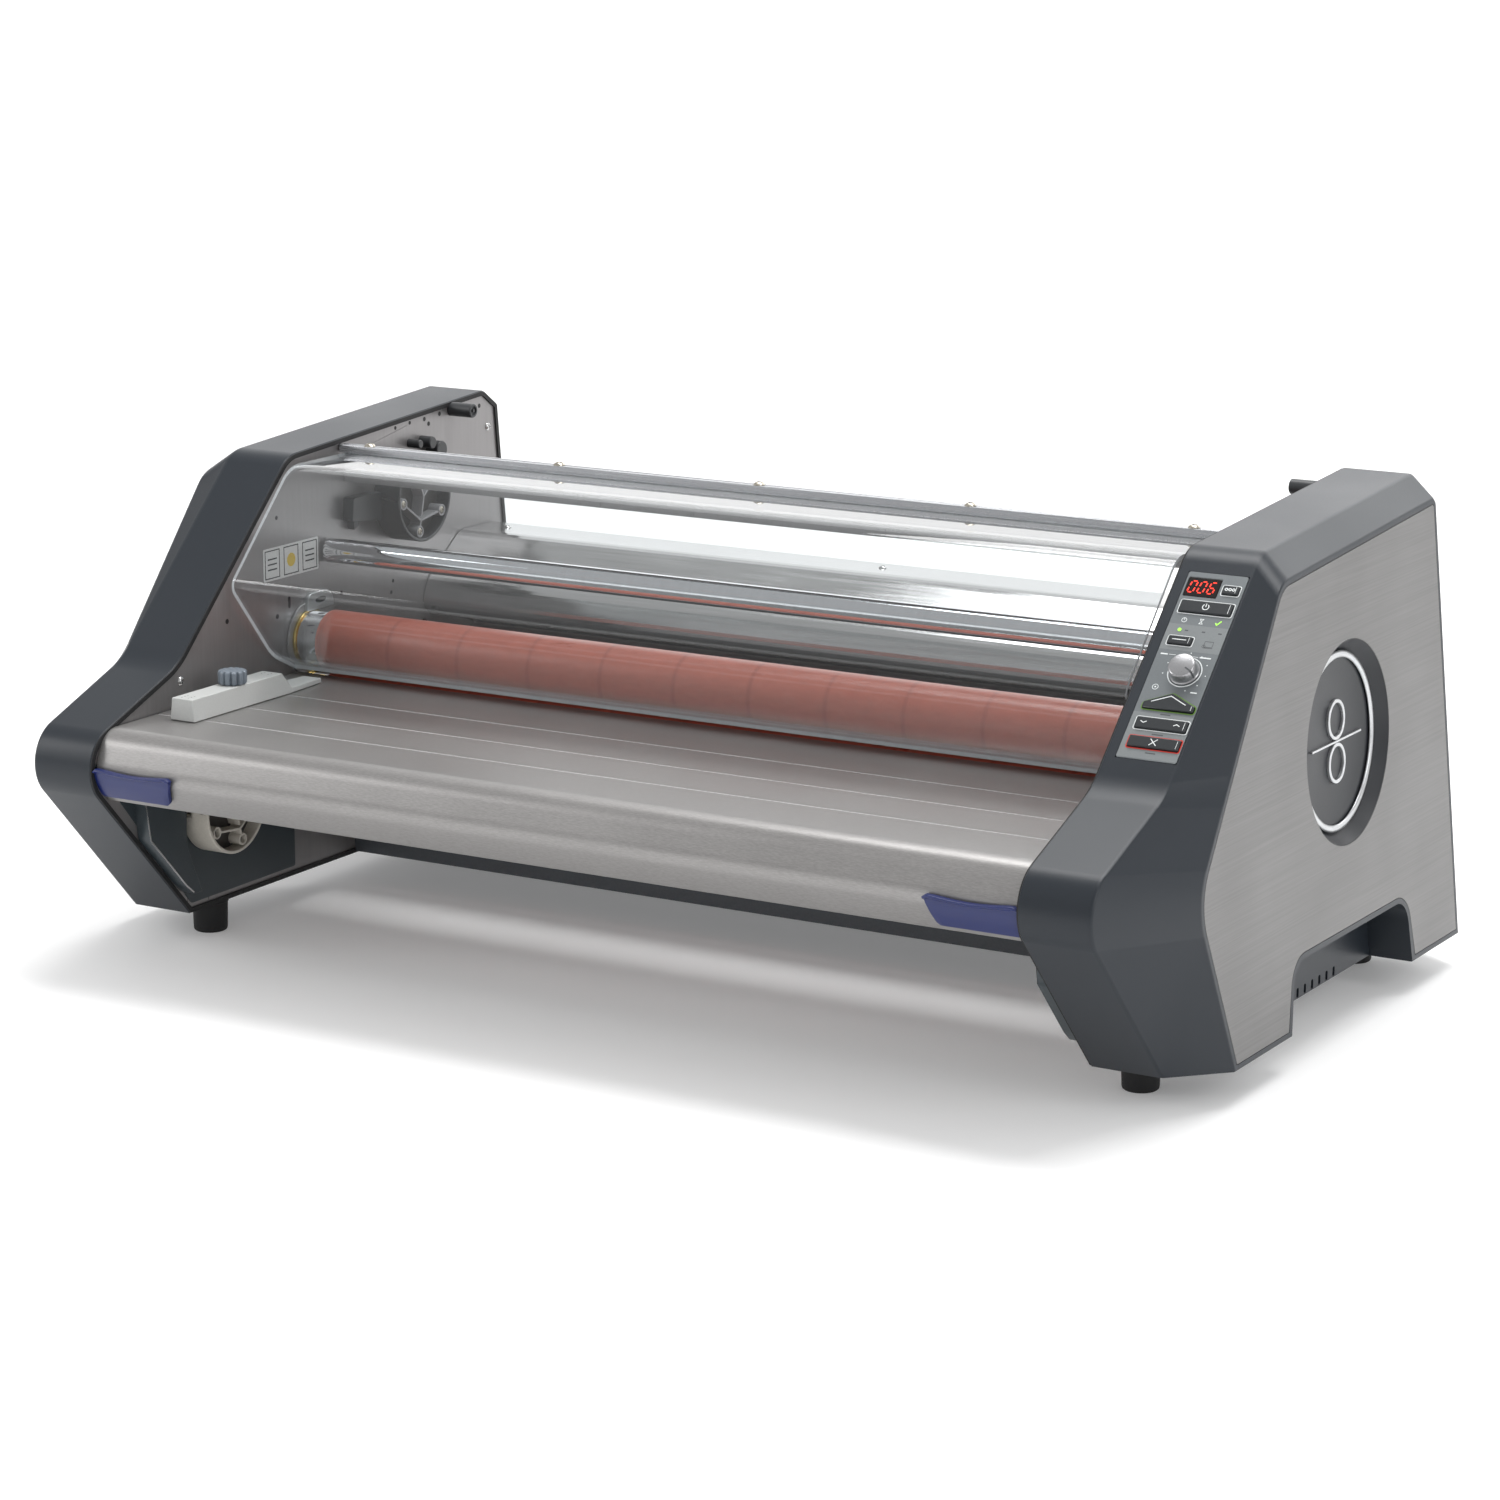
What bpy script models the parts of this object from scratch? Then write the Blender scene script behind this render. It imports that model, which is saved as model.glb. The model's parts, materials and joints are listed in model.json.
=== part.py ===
"""Tabletop roll laminator: two moulded end covers on steel side plates, heated
rollers, pull rollers, feed table, clear shield and control panel.

Metres, +Z up. X runs across the machine, -Y is the feed side, the floor is Z = 0.
"""

import math

import bmesh
import bpy
from mathutils import Matrix, Vector

# Driving dimensions
INNER = 0.3725          # half the clear width between the side frames
CREASE = 0.424          # where a cover's flat front band turns into its bevel
OUTER = 0.4596          # outer face of a cover at its bottom edge
LEAN = 0.04845          # inward lean of the outer face, per metre of height
BOTTOM = 0.0247         # bottom edge of the covers above the floor
WALL = 0.003            # moulded wall thickness
PLATE = 0.0025          # steel side plate thickness
GAP = 0.0004            # clearance between touching pieces

HEAT = (-0.015, 0.2065)         # upper heat roller axis (y, z)
HEAT_RADIUS = 0.0238
MODULE = 0.004                  # gear module
HEAT_TEETH, PULL_TEETH, IDLER_TEETH, PINION_TEETH = 12, 10, 22, 6
JOURNAL = 0.0180
HUB_UPPER = (0.107, 0.300)
HUB_LOWER = (-0.1425, 0.1035)
TABLE_TOP = 0.183
TABLE_HALF = INNER - 0.001
HINGE = (0.0305, 0.3474)        # shield hinge axis (y, z)
GUIDE_X = -0.340
KNOB = (0.4047, 0.0967)         # speed knob on the panel: x, distance up the slope
BADGE = (0.0605, 0.2065)        # centre of the round badge on each outer face (y, z)
LATCH_AXIS = (-0.2655, 0.1345)

# Rounded outlines: y, z, reach of the rounding from the corner, steps in it
BAND = (
    (-0.1711, 0.0247, 0.0, 1),
    (-0.3029, 0.1663, 0.0445, 8),
    (-0.1781, 0.2142, 0.0125, 4),
    (-0.0376, 0.3504, 0.0110, 4),
    (0.2242, 0.3671, 0.0, 1),
    (0.2437, 0.3538, 0.0, 1),
    (0.2803, 0.0247, 0.0, 1),
)
FACE = (
    (-0.1343, 0.0247, 0.0, 1),
    (-0.1884, 0.1487, 0.0264, 8),
    (-0.1393, 0.2134, 0.0125, 4),
    (-0.0471, 0.3346, 0.0120, 4),
    (0.2185, 0.3517, 0.0, 1),
    (0.2229, 0.3475, 0.0, 1),
    (0.2588, 0.0247, 0.0, 1),
)
HANDHOLD = (
    (-0.0425, 0.0247, 0.0, 1),
    (-0.0355, 0.0737, 0.0160, 4),
    (0.1600, 0.0733, 0.0180, 4),
    (0.1702, 0.0247, 0.0, 1),
)

for old in list(bpy.data.objects):
    bpy.data.objects.remove(old, do_unlink=True)

parts = bpy.data.collections.new("roll_laminator")
cutters = bpy.data.collections.new("cutters")
bpy.context.scene.collection.children.link(parts)
bpy.context.scene.collection.children.link(cutters)


def material(name, colour, roughness, metallic=0.0):
    made = bpy.data.materials.new(name)
    made.use_nodes = True
    shader = made.node_tree.nodes["Principled BSDF"]
    shader.inputs["Base Color"].default_value = (*colour, 1.0)
    shader.inputs["Roughness"].default_value = roughness
    shader.inputs["Metallic"].default_value = metallic
    return made


CHARCOAL = material("charcoal_plastic", (0.045, 0.052, 0.060), 0.45)
BRUSHED = material("brushed_skin", (0.32, 0.32, 0.33), 0.38, 0.7)
ALUMINIUM = material("brushed_aluminium", (0.60, 0.59, 0.58), 0.32, 0.9)
STEEL = material("satin_steel", (0.42, 0.41, 0.41), 0.35, 0.8)
CHROME = material("chrome", (0.80, 0.80, 0.82), 0.08, 1.0)
PAINTED = material("painted_steel", (0.075, 0.085, 0.095), 0.50)
SILICONE = material("silicone_rubber", (0.56, 0.20, 0.16), 0.45)
BRASS = material("brass", (0.70, 0.52, 0.22), 0.25, 1.0)
RUBBER = material("black_rubber", (0.012, 0.012, 0.013), 0.70)
BLUE = material("blue_plastic", (0.035, 0.055, 0.36), 0.35)
CLEAR = material("clear_acrylic", (0.90, 0.93, 0.95), 0.05)
CREAM = material("cream_plastic", (0.60, 0.56, 0.48), 0.50)
PALE = material("pale_plastic", (0.68, 0.69, 0.68), 0.45)
KEY_BLACK = material("key_plastic", (0.020, 0.022, 0.025), 0.40)
GREEN_BOARD = material("circuit_board", (0.02, 0.18, 0.08), 0.50)


def add(name, bm, finish, where=None, matrix=None):
    """A bmesh becomes a named object, with its faces turned so that they point out."""
    bmesh.ops.recalc_face_normals(bm, faces=bm.faces[:])
    if bm.calc_volume(signed=True) < 0:
        bmesh.ops.reverse_faces(bm, faces=bm.faces[:])
    mesh = bpy.data.meshes.new(name)
    bm.to_mesh(mesh)
    bm.free()
    mesh.shade_smooth()
    mesh.set_sharp_from_angle(angle=math.radians(30))
    made = bpy.data.objects.new(name, mesh)
    if finish:
        mesh.materials.append(finish)
    if matrix:
        made.matrix_world = matrix
    (where or parts).objects.link(made)
    if where is cutters:
        made.hide_render = True
        made.display_type = "WIRE"
    return made


def cut(target, tool, operation="DIFFERENCE"):
    step = target.modifiers.new(tool.name, "BOOLEAN")
    step.operation = operation
    step.object = tool


def box(name, low, high, finish, where=None, matrix=None):
    bm = bmesh.new()
    size = [b - a for a, b in zip(low, high)]
    centre = [(a + b) / 2 for a, b in zip(low, high)]
    bmesh.ops.create_cube(bm, matrix=Matrix.Translation(centre) @ Matrix.Diagonal((*size, 1)))
    return add(name, bm, finish, where, matrix)


def rounded(corners):
    """Points round a closed outline whose corners are eased by circular arcs."""
    points = []
    for i, (y, z, reach, steps) in enumerate(corners):
        corner = Vector((y, z))
        if reach == 0:
            points.append(corner)
            continue
        before = (Vector(corners[i - 1][:2]) - corner).normalized()
        after = (Vector(corners[(i + 1) % len(corners)][:2]) - corner).normalized()
        start, end = corner + before * reach, corner + after * reach
        weight = math.sin(before.angle(after) / 2)
        for k in range(steps + 1):
            t = k / steps
            a, b, c = (1 - t) ** 2, 2 * weight * t * (1 - t), t ** 2
            points.append((start * a + corner * b + end * c) / (a + b + c))
    return points


def inset(corners, depth):
    """The same outline with every side moved inwards; it runs clockwise seen from +X."""
    count = len(corners)
    lines = []
    for i in range(count):
        start = Vector(corners[i][:2])
        along = (Vector(corners[(i + 1) % count][:2]) - start).normalized()
        lines.append((start + Vector((along.y, -along.x)) * depth, along))
    moved = []
    for i, (_, _, reach, steps) in enumerate(corners):
        (p, d), (q, e) = lines[i - 1], lines[i]
        t = (q - p).cross(e) / d.cross(e)
        meet = p + d * t
        moved.append((meet.x, meet.y, reach, steps))
    return moved


def outer_x(z, lift=0.0):
    return OUTER - LEAN * (z - BOTTOM) + lift


def loft(name, rings, finish, where=None):
    """A closed solid through rings that have the same number of points."""
    bm = bmesh.new()
    loops = [[bm.verts.new(point) for point in ring] for ring in rings]
    for first, second in zip(loops, loops[1:]):
        for i, vert in enumerate(first):
            j = i - 1
            bm.faces.new((first[j], vert, second[i], second[j]))
    bm.faces.new(loops[0])
    bm.faces.new(loops[-1])
    return add(name, bm, finish, where)


def prism(name, outline, x0, x1, finish, where=None, matrix=None):
    """A (y, z) outline extruded along X."""
    bm = bmesh.new()
    ends = [[bm.verts.new((x, p[0], p[1])) for p in outline] for x in (x0, x1)]
    for i in range(len(outline)):
        bm.faces.new((ends[0][i - 1], ends[0][i], ends[1][i], ends[1][i - 1]))
    for end in ends:
        bm.faces.new(end)
    return add(name, bm, finish, where, matrix)


def slab(name, outline, low, high, finish, matrix, where=None):
    """A flat outline without holes, thickened from low to high in its own frame."""
    bm = bmesh.new()
    ends = [[bm.verts.new((p[0], p[1], z)) for p in outline] for z in (low, high)]
    for i in range(len(outline)):
        bm.faces.new((ends[0][i - 1], ends[0][i], ends[1][i], ends[1][i - 1]))
    for end in ends:
        bm.faces.new(end)
    return add(name, bm, finish, where, matrix)


def circle(radius, count, centre=(0.0, 0.0)):
    turns = (2 * math.pi * k / count for k in range(count))
    return [(centre[0] + radius * math.cos(t), centre[1] + radius * math.sin(t)) for t in turns]


def pierced(name, outlines, thickness, finish, matrix, where=None):
    """A flat piece from a 2D curve: the first outline is its edge, the rest are holes."""
    curve = bpy.data.curves.new(name, "CURVE")
    curve.dimensions = "2D"
    curve.fill_mode = "BOTH"
    curve.extrude = thickness / 2
    for outline in outlines:
        spline = curve.splines.new("POLY")
        spline.points.add(len(outline) - 1)
        spline.use_cyclic_u = True
        for point, (u, v) in zip(spline.points, outline):
            point.co = (u, v, 0.0, 1.0)
    guide = bpy.data.objects.new(name + "_outline", curve)
    parts.objects.link(guide)
    bpy.context.view_layer.update()
    graph = bpy.context.evaluated_depsgraph_get()
    mesh = bpy.data.meshes.new_from_object(guide.evaluated_get(graph))
    bpy.data.objects.remove(guide, do_unlink=True)
    bm = bmesh.new()
    bm.from_mesh(mesh)
    bpy.data.meshes.remove(mesh)
    bmesh.ops.remove_doubles(bm, verts=bm.verts[:], dist=0.00001)
    return add(name, bm, finish, where, matrix)


def turned(name, profile, finish, matrix, segments=32, where=None, ring=False):
    """A profile of (radius, height), listed top to bottom, turned about its own Z."""
    bm = bmesh.new()
    verts = [bm.verts.new((radius, 0.0, height)) for radius, height in profile]
    for first, second in zip(verts, verts[1:]):
        bm.edges.new((first, second))
    if ring:
        bm.edges.new((verts[-1], verts[0]))
    mesh = bpy.data.meshes.new(name)
    bm.to_mesh(mesh)
    bm.free()
    mesh.materials.append(finish)
    made = bpy.data.objects.new(name, mesh)
    made.matrix_world = matrix
    (where or parts).objects.link(made)
    if where is cutters:
        made.hide_render = True
        made.display_type = "WIRE"
    screw = made.modifiers.new("turn", "SCREW")
    screw.steps = screw.render_steps = segments
    screw.use_merge_vertices = True
    screw.merge_threshold = 0.00001
    screw.use_smooth_shade = True
    return made


def frame_at(origin, along, across):
    """A matrix whose X is along, Y is across and Z is their normal."""
    x, y = Vector(along).normalized(), Vector(across).normalized()
    turn = Matrix((x, y, x.cross(y))).transposed().to_4x4()
    return Matrix.Translation(origin) @ turn


def across_at(y, z, x=0.0):
    """Turned pieces whose axis runs along +X."""
    return frame_at((x, y, z), (0, 1, 0), (0, 0, 1))


def mirrored(source, name):
    """The other hand of a finished piece."""
    bpy.context.view_layer.update()
    graph = bpy.context.evaluated_depsgraph_get()
    bm = bmesh.new()
    bm.from_mesh(bpy.data.meshes.new_from_object(source.evaluated_get(graph)))
    bmesh.ops.transform(bm, matrix=Matrix.Diagonal((-1, 1, 1, 1)) @ source.matrix_world, verts=bm.verts[:])
    return add(name, bm, source.data.materials[0])


def gear_outline(teeth, phase):
    """Straight-flanked teeth with a running clearance; one tooth points along phase."""
    pitch = MODULE * teeth / 2
    tip, root = pitch + 0.70 * MODULE, pitch - 0.95 * MODULE
    points = []
    for k in range(teeth):
        middle = phase + 2 * math.pi * k / teeth
        for radius, share in ((root, -0.30), (tip, -0.12), (tip, 0.12), (root, 0.30)):
            turn = middle + share * 2 * math.pi / teeth
            points.append((radius * math.cos(turn), radius * math.sin(turn)))
    return points


def mesh_phase(first, second, phase, teeth_first, teeth_second):
    """The phase that puts a gap of the second gear on the first gear's tooth."""
    heading = math.atan2(second[1] - first[1], second[0] - first[0])
    r_first, r_second = MODULE * teeth_first / 2, MODULE * teeth_second / 2
    offset = (phase - heading) * r_first + math.pi * MODULE / 2
    return heading + math.pi - offset / r_second


def gear_wheel(name, axis, teeth, phase, shaft, x0, x1, finish):
    """A toothed wheel in the plane GEAR_X with its own shaft from x0 to x1."""
    steps = ((x0, shaft), (GEAR_X[0], shaft), (GEAR_X[0], 0), (GEAR_X[1], 0), (GEAR_X[1], shaft), (x1, shaft))
    return stepped_shaft(name, gear_outline(teeth, phase), steps, axis, finish)


# Gear train centres, all in (y, z)
PITCH_HEAT, PITCH_PULL = MODULE * HEAT_TEETH / 2, MODULE * PULL_TEETH / 2
PITCH_IDLER, PITCH_PINION = MODULE * IDLER_TEETH / 2, MODULE * PINION_TEETH / 2
HEAT_LOW = (HEAT[0], HEAT[1] - 2 * PITCH_HEAT)
NIP = HEAT[1] - PITCH_HEAT
PULL_Z = NIP + PITCH_PULL
RUN = PITCH_HEAT + 4 * PITCH_IDLER + PITCH_PULL
PULL = (HEAT[0] + math.sqrt(RUN ** 2 - (PULL_Z - HEAT_LOW[1]) ** 2), PULL_Z)
PULL_LOW = (PULL[0], PULL_Z - 2 * PITCH_PULL)
PULL_RADIUS = PITCH_PULL - 0.0004
GEAR_X = (0.3805, 0.3885)
train = (Vector(PULL) - Vector(HEAT_LOW)).normalized()
IDLER_FRONT = tuple(Vector(HEAT_LOW) + train * (PITCH_HEAT + PITCH_IDLER))
IDLER_REAR = tuple(Vector(HEAT_LOW) + train * (PITCH_HEAT + 3 * PITCH_IDLER))
PINION = (IDLER_FRONT[0] + 0.010, IDLER_FRONT[1] - math.sqrt((PITCH_IDLER + PITCH_PINION) ** 2 - 0.010 ** 2))

# The control panel lies on the slope between the second and third bends of the band
WAIST, BROW = Vector(BAND[2][:2]), Vector(BAND[3][:2])
slope = (BROW - WAIST).normalized()
PANEL = frame_at((0, *WAIST), (1, 0, 0), (0, *slope))
face_up = math.sqrt(1 + LEAN ** 2)


def face_frame():
    """X runs back along the outer face, Y up it, Z out of the machine on the right."""
    return frame_at((OUTER, 0, BOTTOM), (0, 1, 0), (-LEAN, 0, 1))


def on_face(points):
    """World (y, z) points on the outer face, in the frame of face_frame."""
    return [(p[0], (p[1] - BOTTOM) * face_up) for p in points]


# Covers
def band_ring(corners, x):
    return [(x, p[0], p[1]) for p in rounded(corners)]


def face_ring(corners, lift):
    return [(outer_x(p[1], lift), p[0], p[1]) for p in rounded(corners)]


def panel_window(name, low, high, deep, high_z):
    return box(name, (low[0], low[1], deep), (high[0], high[1], high_z), None, cutters, PANEL)


def cover_blank():
    """Hollow shell, open towards the side plate, with a hand-hold under its outer face."""
    shell = loft("cover_blank", [
        band_ring(BAND, INNER), band_ring(BAND, CREASE), face_ring(FACE, 0.0)], CHARCOAL, cutters)
    inner_band, inner_face = inset(BAND, WALL), inset(FACE, WALL)
    hollow = loft("cover_hollow", [
        band_ring(inner_band, INNER - 0.01), band_ring(inner_band, CREASE - 0.0025),
        face_ring(inner_face, -WALL)], None, cutters)
    deep = 0.4262
    liner = prism("hand_hold_liner", drop(inset(HANDHOLD, -WALL)), deep - WALL, 0.5, None, cutters)
    hand_hold = prism("hand_hold", drop(HANDHOLD), deep, 0.5, None, cutters)
    cut(hollow, liner)
    cut(shell, hollow)
    cut(shell, hand_hold)
    skin_seat = inset(FACE, 0.0042)
    pocket = slab("skin_pocket", on_face(skin_outline(skin_seat, -0.0003)), -0.0010, 0.0050, None,
                  face_frame(), cutters)
    cut(shell, pocket)
    badge_hole = turned("badge_hole", ((0, 0.02), (0.0717, 0.02), (0.0717, -0.02), (0, -0.02)), CHARCOAL,
                        badge_frame(), 48, cutters)
    cut(shell, badge_hole)
    for k in range(8):
        y = 0.0175 + 0.0126 * k
        slot = box(f"vent_{k}", (deep - 0.006, y - 0.0019, BOTTOM + 0.0008), (deep + 0.004, y + 0.0019, 0.0325),
                   None, cutters)
        cut(shell, slot)
    return shell


def drop(corners):
    """The hand-hold outline carried below the cover so that it is open underneath."""
    points = rounded(corners)
    low = BOTTOM - 0.01
    return [(points[0][0], low)] + [tuple(p) for p in points] + [(points[-1][0], low)]


def skin_outline(seat, margin):
    """The outer skin: the seat outline with the hand-hold notched out of its lower edge."""
    edge = [tuple(p) for p in rounded(inset(seat, margin))]
    notch = [tuple(p) for p in rounded(inset(HANDHOLD, -0.0042 - margin))]
    low = edge[0][1]
    notch = [(y, max(z, low)) for y, z in notch]
    return edge + notch[::-1]


def badge_frame():
    return face_frame() @ Matrix.Translation((BADGE[0], (BADGE[1] - BOTTOM) * face_up, 0))


def covers_and_skins():
    blank = cover_blank()
    mirrored(blank, "left_cover")
    window = panel_window("key_window", (0.3815, 0.0320), (0.4222, 0.1725), -0.02, 0.01)
    seat = panel_window("panel_seat", (0.3802 - GAP, 0.0262 - GAP), (0.4232 + GAP, 0.1762 + GAP), -0.0019, 0.01)
    right = join_copy(blank, "right_cover", CHARCOAL)
    cut(right, seat)
    cut(right, window)
    seat_corners = inset(FACE, 0.0042)
    skin = slab("right_skin", on_face(skin_outline(seat_corners, 0.0002)), -0.0007, 0.0, BRUSHED, face_frame())
    cut(skin, bpy.data.objects["badge_hole"])
    mirrored(skin, "left_skin")
    cup = turned("right_badge_cup", ((0, -0.0105), (0.0625, -0.0105), (0.0632, -0.0100), (0.0706, -0.0004),
                                     (0.0713, -0.0004), (0.0713, -0.0030), (0.0640, -0.0125), (0, -0.0125)),
                 CHARCOAL, badge_frame(), 36)
    mirrored(cup, "left_badge_cup")
    profile = ((0.0575, -0.0072), (0.0622, -0.0072), (0.0622, -0.0101), (0.0575, -0.0101))
    ring = turned("right_badge_ring", profile, CHROME, badge_frame(), 36, ring=True)
    mirrored(ring, "left_badge_ring")


# Side plates
def side_plates():
    edge = [tuple(p) for p in rounded(inset(BAND, WALL + 0.0006))]
    holes = (
        (*HEAT, 0.0207, 24), (*HEAT_LOW, 0.0207, 24), (*PULL, 0.0075, 12), (*PULL_LOW, 0.0075, 12),
        (*HUB_UPPER, 0.0064, 10), (*HUB_LOWER, 0.0064, 10), (0.010, 0.271, 0.0034, 8),
        (-0.070, 0.118, 0.0034, 8), (*HINGE, 0.0030, 8), (*IDLER_FRONT, 0.0055, 10), (*IDLER_REAR, 0.0055, 10),
        (-0.1590, 0.0470, 0.0060, 10),
    )
    outlines = [edge] + [circle(r, n, (y, z)) for y, z, r, n in holes]
    right = pierced("right_side_plate", outlines, PLATE, STEEL,
                    across_at(0, 0, INNER + 0.0005 + PLATE / 2))
    mirrored(right, "left_side_plate")


# Cross members
def sheet(name, route, thickness, half, finish, side=1):
    """Bent sheet of one thickness: an open (y, z) route extruded along X and thickened."""
    bm = bmesh.new()
    rows = [[bm.verts.new((x, y, z)) for y, z in route] for x in (-half, half)]
    for i in range(len(route) - 1):
        bm.faces.new((rows[0][i], rows[0][i + 1], rows[1][i + 1], rows[1][i]))
    mesh = bpy.data.meshes.new(name)
    bm.to_mesh(mesh)
    bm.free()
    mesh.materials.append(finish)
    made = bpy.data.objects.new(name, mesh)
    parts.objects.link(made)
    wall = made.modifiers.new("thickness", "SOLIDIFY")
    wall.thickness = thickness
    wall.offset = side
    wall.use_even_offset = True
    return made


def eased(corners):
    """An open route with rounded inner corners: y, z, reach, steps."""
    points = rounded(corners)
    return [tuple(p) for p in points]


def cross_members():
    half = INNER - 0.0001
    pan = [(0.040, 0.125), (0.040, 0.0284), (0.252, 0.0284), (0.252, 0.045)]
    sheet("base_pan", pan, 0.002, half, PAINTED, 1)
    panel = sheet("rear_panel", eased([(0.2600, 0.0310, 0, 1), (0.2600, 0.1740, 0.006, 3), (0.2270, 0.1805, 0, 1)]),
                  0.002, half, PAINTED, 1)
    cut(panel, box("inlet_hole", (-0.3250, 0.24, 0.0550), (-0.2950, 0.28, 0.0800), None, cutters))
    cut(panel, box("switch_hole", (-0.2800, 0.24, 0.0560), (-0.2640, 0.28, 0.0790), None, cutters))
    sheet("rear_cover", eased([(0.1475, 0.1985, 0, 1), (0.1375, 0.2080, 0.004, 3), (0.1435, 0.2240, 0.004, 3),
                               (0.1900, 0.2570, 0.006, 3), (0.2430, 0.2570, 0.010, 4), (0.2580, 0.2000, 0, 1)]),
          0.002, half, STEEL, -1)
    box("upper_tie_bar", (-half, 0.034, 0.3205), (half, 0.062, 0.3385), STEEL)


# Feet
def feet():
    for across, side in ((-1, "left"), (1, "right")):
        for y, end in ((-0.127, "front"), (0.235, "rear")):
            turned(f"{side}_{end}_foot", ((0, 0.0243), (0.0140, 0.0243), (0.0128, 0.0015), (0.0118, 0.0), (0, 0.0)),
                   RUBBER, Matrix.Translation((across * 0.388, y, 0)), 20)


# Heat rollers
def heat_roller(name, axis, phase):
    """Hollow core with journals through the plates and its gear at the right end."""
    bore, face = 0.0125, 0.3505
    profile = ((bore, 0.3930), (JOURNAL, 0.3930), (JOURNAL, 0.3690), (0.0212, 0.3690), (0.0212, -0.3690),
               (JOURNAL, -0.3690), (JOURNAL, -0.3820), (bore, -0.3820))
    core = turned(f"{name}_core", profile, CHROME, across_at(*axis), 32, cutters, ring=True)
    rim = gear_outline(HEAT_TEETH, phase)
    wheel = pierced(f"{name}_gear", [rim, circle(JOURNAL - 0.002, 24)], GEAR_X[1] - GEAR_X[0], None,
                    across_at(*axis, sum(GEAR_X) / 2), cutters)
    cut(core, wheel, "UNION")
    roller = join_copy(core, name, CHROME)
    turned(f"{name}_sleeve", ((0.0216, face), (HEAT_RADIUS, face), (HEAT_RADIUS, -face), (0.0216, -face)),
           SILICONE, across_at(*axis), 32, ring=True)
    return roller


def join_copy(source, name, finish):
    """A finished copy of a cutter-collection blank, on its own axis."""
    bpy.context.view_layer.update()
    graph = bpy.context.evaluated_depsgraph_get()
    bm = bmesh.new()
    bm.from_mesh(bpy.data.meshes.new_from_object(source.evaluated_get(graph)))
    return add(name, bm, finish, matrix=source.matrix_world.copy())


def bushings():
    for height, axis in (("upper", HEAT), ("lower", HEAT_LOW)):
        right = turned(f"right_{height}_bushing", (
            (0.0183, 0.3775), (0.0203, 0.3775), (0.0203, 0.3724), (0.0225, 0.3724),
            (0.0225, 0.3696), (0.0183, 0.3696)), BRASS, across_at(*axis), 24, ring=True)
        mirrored(right, f"left_{height}_bushing")


def heater_rods():
    """Quartz heater through each hollow roller, held by a cap on the left side plate."""
    for height, axis in (("upper", HEAT), ("lower", HEAT_LOW)):
        turned(f"{height}_heater", (
            (0, 0.3900), (0.0060, 0.3900), (0.0060, -0.3860), (0.0210, -0.3860), (0.0210, -0.3762),
            (0.0232, -0.3762), (0.0232, -0.3890), (0, -0.3890)), CREAM, across_at(*axis), 16)


def drive_train():
    phase = math.radians(90)
    low = mesh_phase(HEAT, HEAT_LOW, phase, HEAT_TEETH, HEAT_TEETH)
    front = mesh_phase(HEAT_LOW, IDLER_FRONT, low, HEAT_TEETH, IDLER_TEETH)
    rear = mesh_phase(IDLER_FRONT, IDLER_REAR, front, IDLER_TEETH, IDLER_TEETH)
    pull = mesh_phase(IDLER_REAR, PULL, rear, IDLER_TEETH, PULL_TEETH)
    pull_low = mesh_phase(PULL, PULL_LOW, pull, PULL_TEETH, PULL_TEETH)
    small = mesh_phase(IDLER_FRONT, PINION, front, IDLER_TEETH, PINION_TEETH)
    heat_roller("upper_heat_roller", HEAT, phase)
    heat_roller("lower_heat_roller", HEAT_LOW, low)
    gear_wheel("front_idler_gear", IDLER_FRONT, IDLER_TEETH, front, 0.0050, 0.3735, 0.3905, CREAM)
    gear_wheel("rear_idler_gear", IDLER_REAR, IDLER_TEETH, rear, 0.0050, 0.3735, 0.3905, CREAM)
    pull_roller("upper_pull_roller", PULL, pull, GEAR_X[0])
    pull_roller("lower_pull_roller", PULL_LOW, pull_low, GEAR_X[1] + 0.0008)
    gear_wheel("motor_pinion", PINION, PINION_TEETH, small, 0.0035, 0.3800, 0.3925, BRASS)
    gear_axes = {"front_idler_gear": IDLER_FRONT, "rear_idler_gear": IDLER_REAR, "motor_pinion": PINION,
                 "upper_pull_roller": PULL, "lower_pull_roller": PULL_LOW}
    for name, axis in gear_axes.items():
        set_origin(bpy.data.objects[name], (0, *axis))
    y, z = PINION
    box("drive_motor", (0.3932, y - 0.028, z - 0.028), (0.4180, y + 0.028, z + 0.020), STEEL)


def set_origin(piece, point):
    """Moves a piece's origin onto its joint axis without moving the piece."""
    piece.data.transform(Matrix.Translation(-Vector(point)))
    piece.location = point


def stepped_shaft(name, outline, steps, axis, finish):
    """Solid through (x, radius) steps along an axis; a radius of 0 stands for the toothed outline."""
    rings = []
    for x, radius in steps:
        ring = []
        for u, v in outline:
            scale = radius / math.hypot(u, v) if radius else 1.0
            ring.append((x, axis[0] + u * scale, axis[1] + v * scale))
        rings.append(ring)
    return loft(name, rings, finish)


def pull_roller(name, axis, phase, gear_from):
    """Rubber-faced roller, stepped down to its journals, with a gear at the right end."""
    half, journal, gear_to = 0.366, 0.0070, 0.3965
    steps = ((-0.3790, journal), (-half, journal), (-half, PULL_RADIUS), (half, PULL_RADIUS), (half, journal),
             (gear_from, journal), (gear_from, 0), (gear_to, 0))
    return stepped_shaft(name, gear_outline(PULL_TEETH, phase), steps, axis, PAINTED)


# Film path
def idler_bars():
    for name, axis in (("upper_idler_bar", (0.010, 0.271)), ("lower_idler_bar", (-0.070, 0.118))):
        turned(name, ((0, 0.3750), (0.0030, 0.3750), (0.0030, 0.3705), (0.0094, 0.3705), (0.0094, -0.3705),
                      (0.0030, -0.3705), (0.0030, -0.3750), (0, -0.3750)), CHROME, across_at(*axis), 20)


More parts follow.
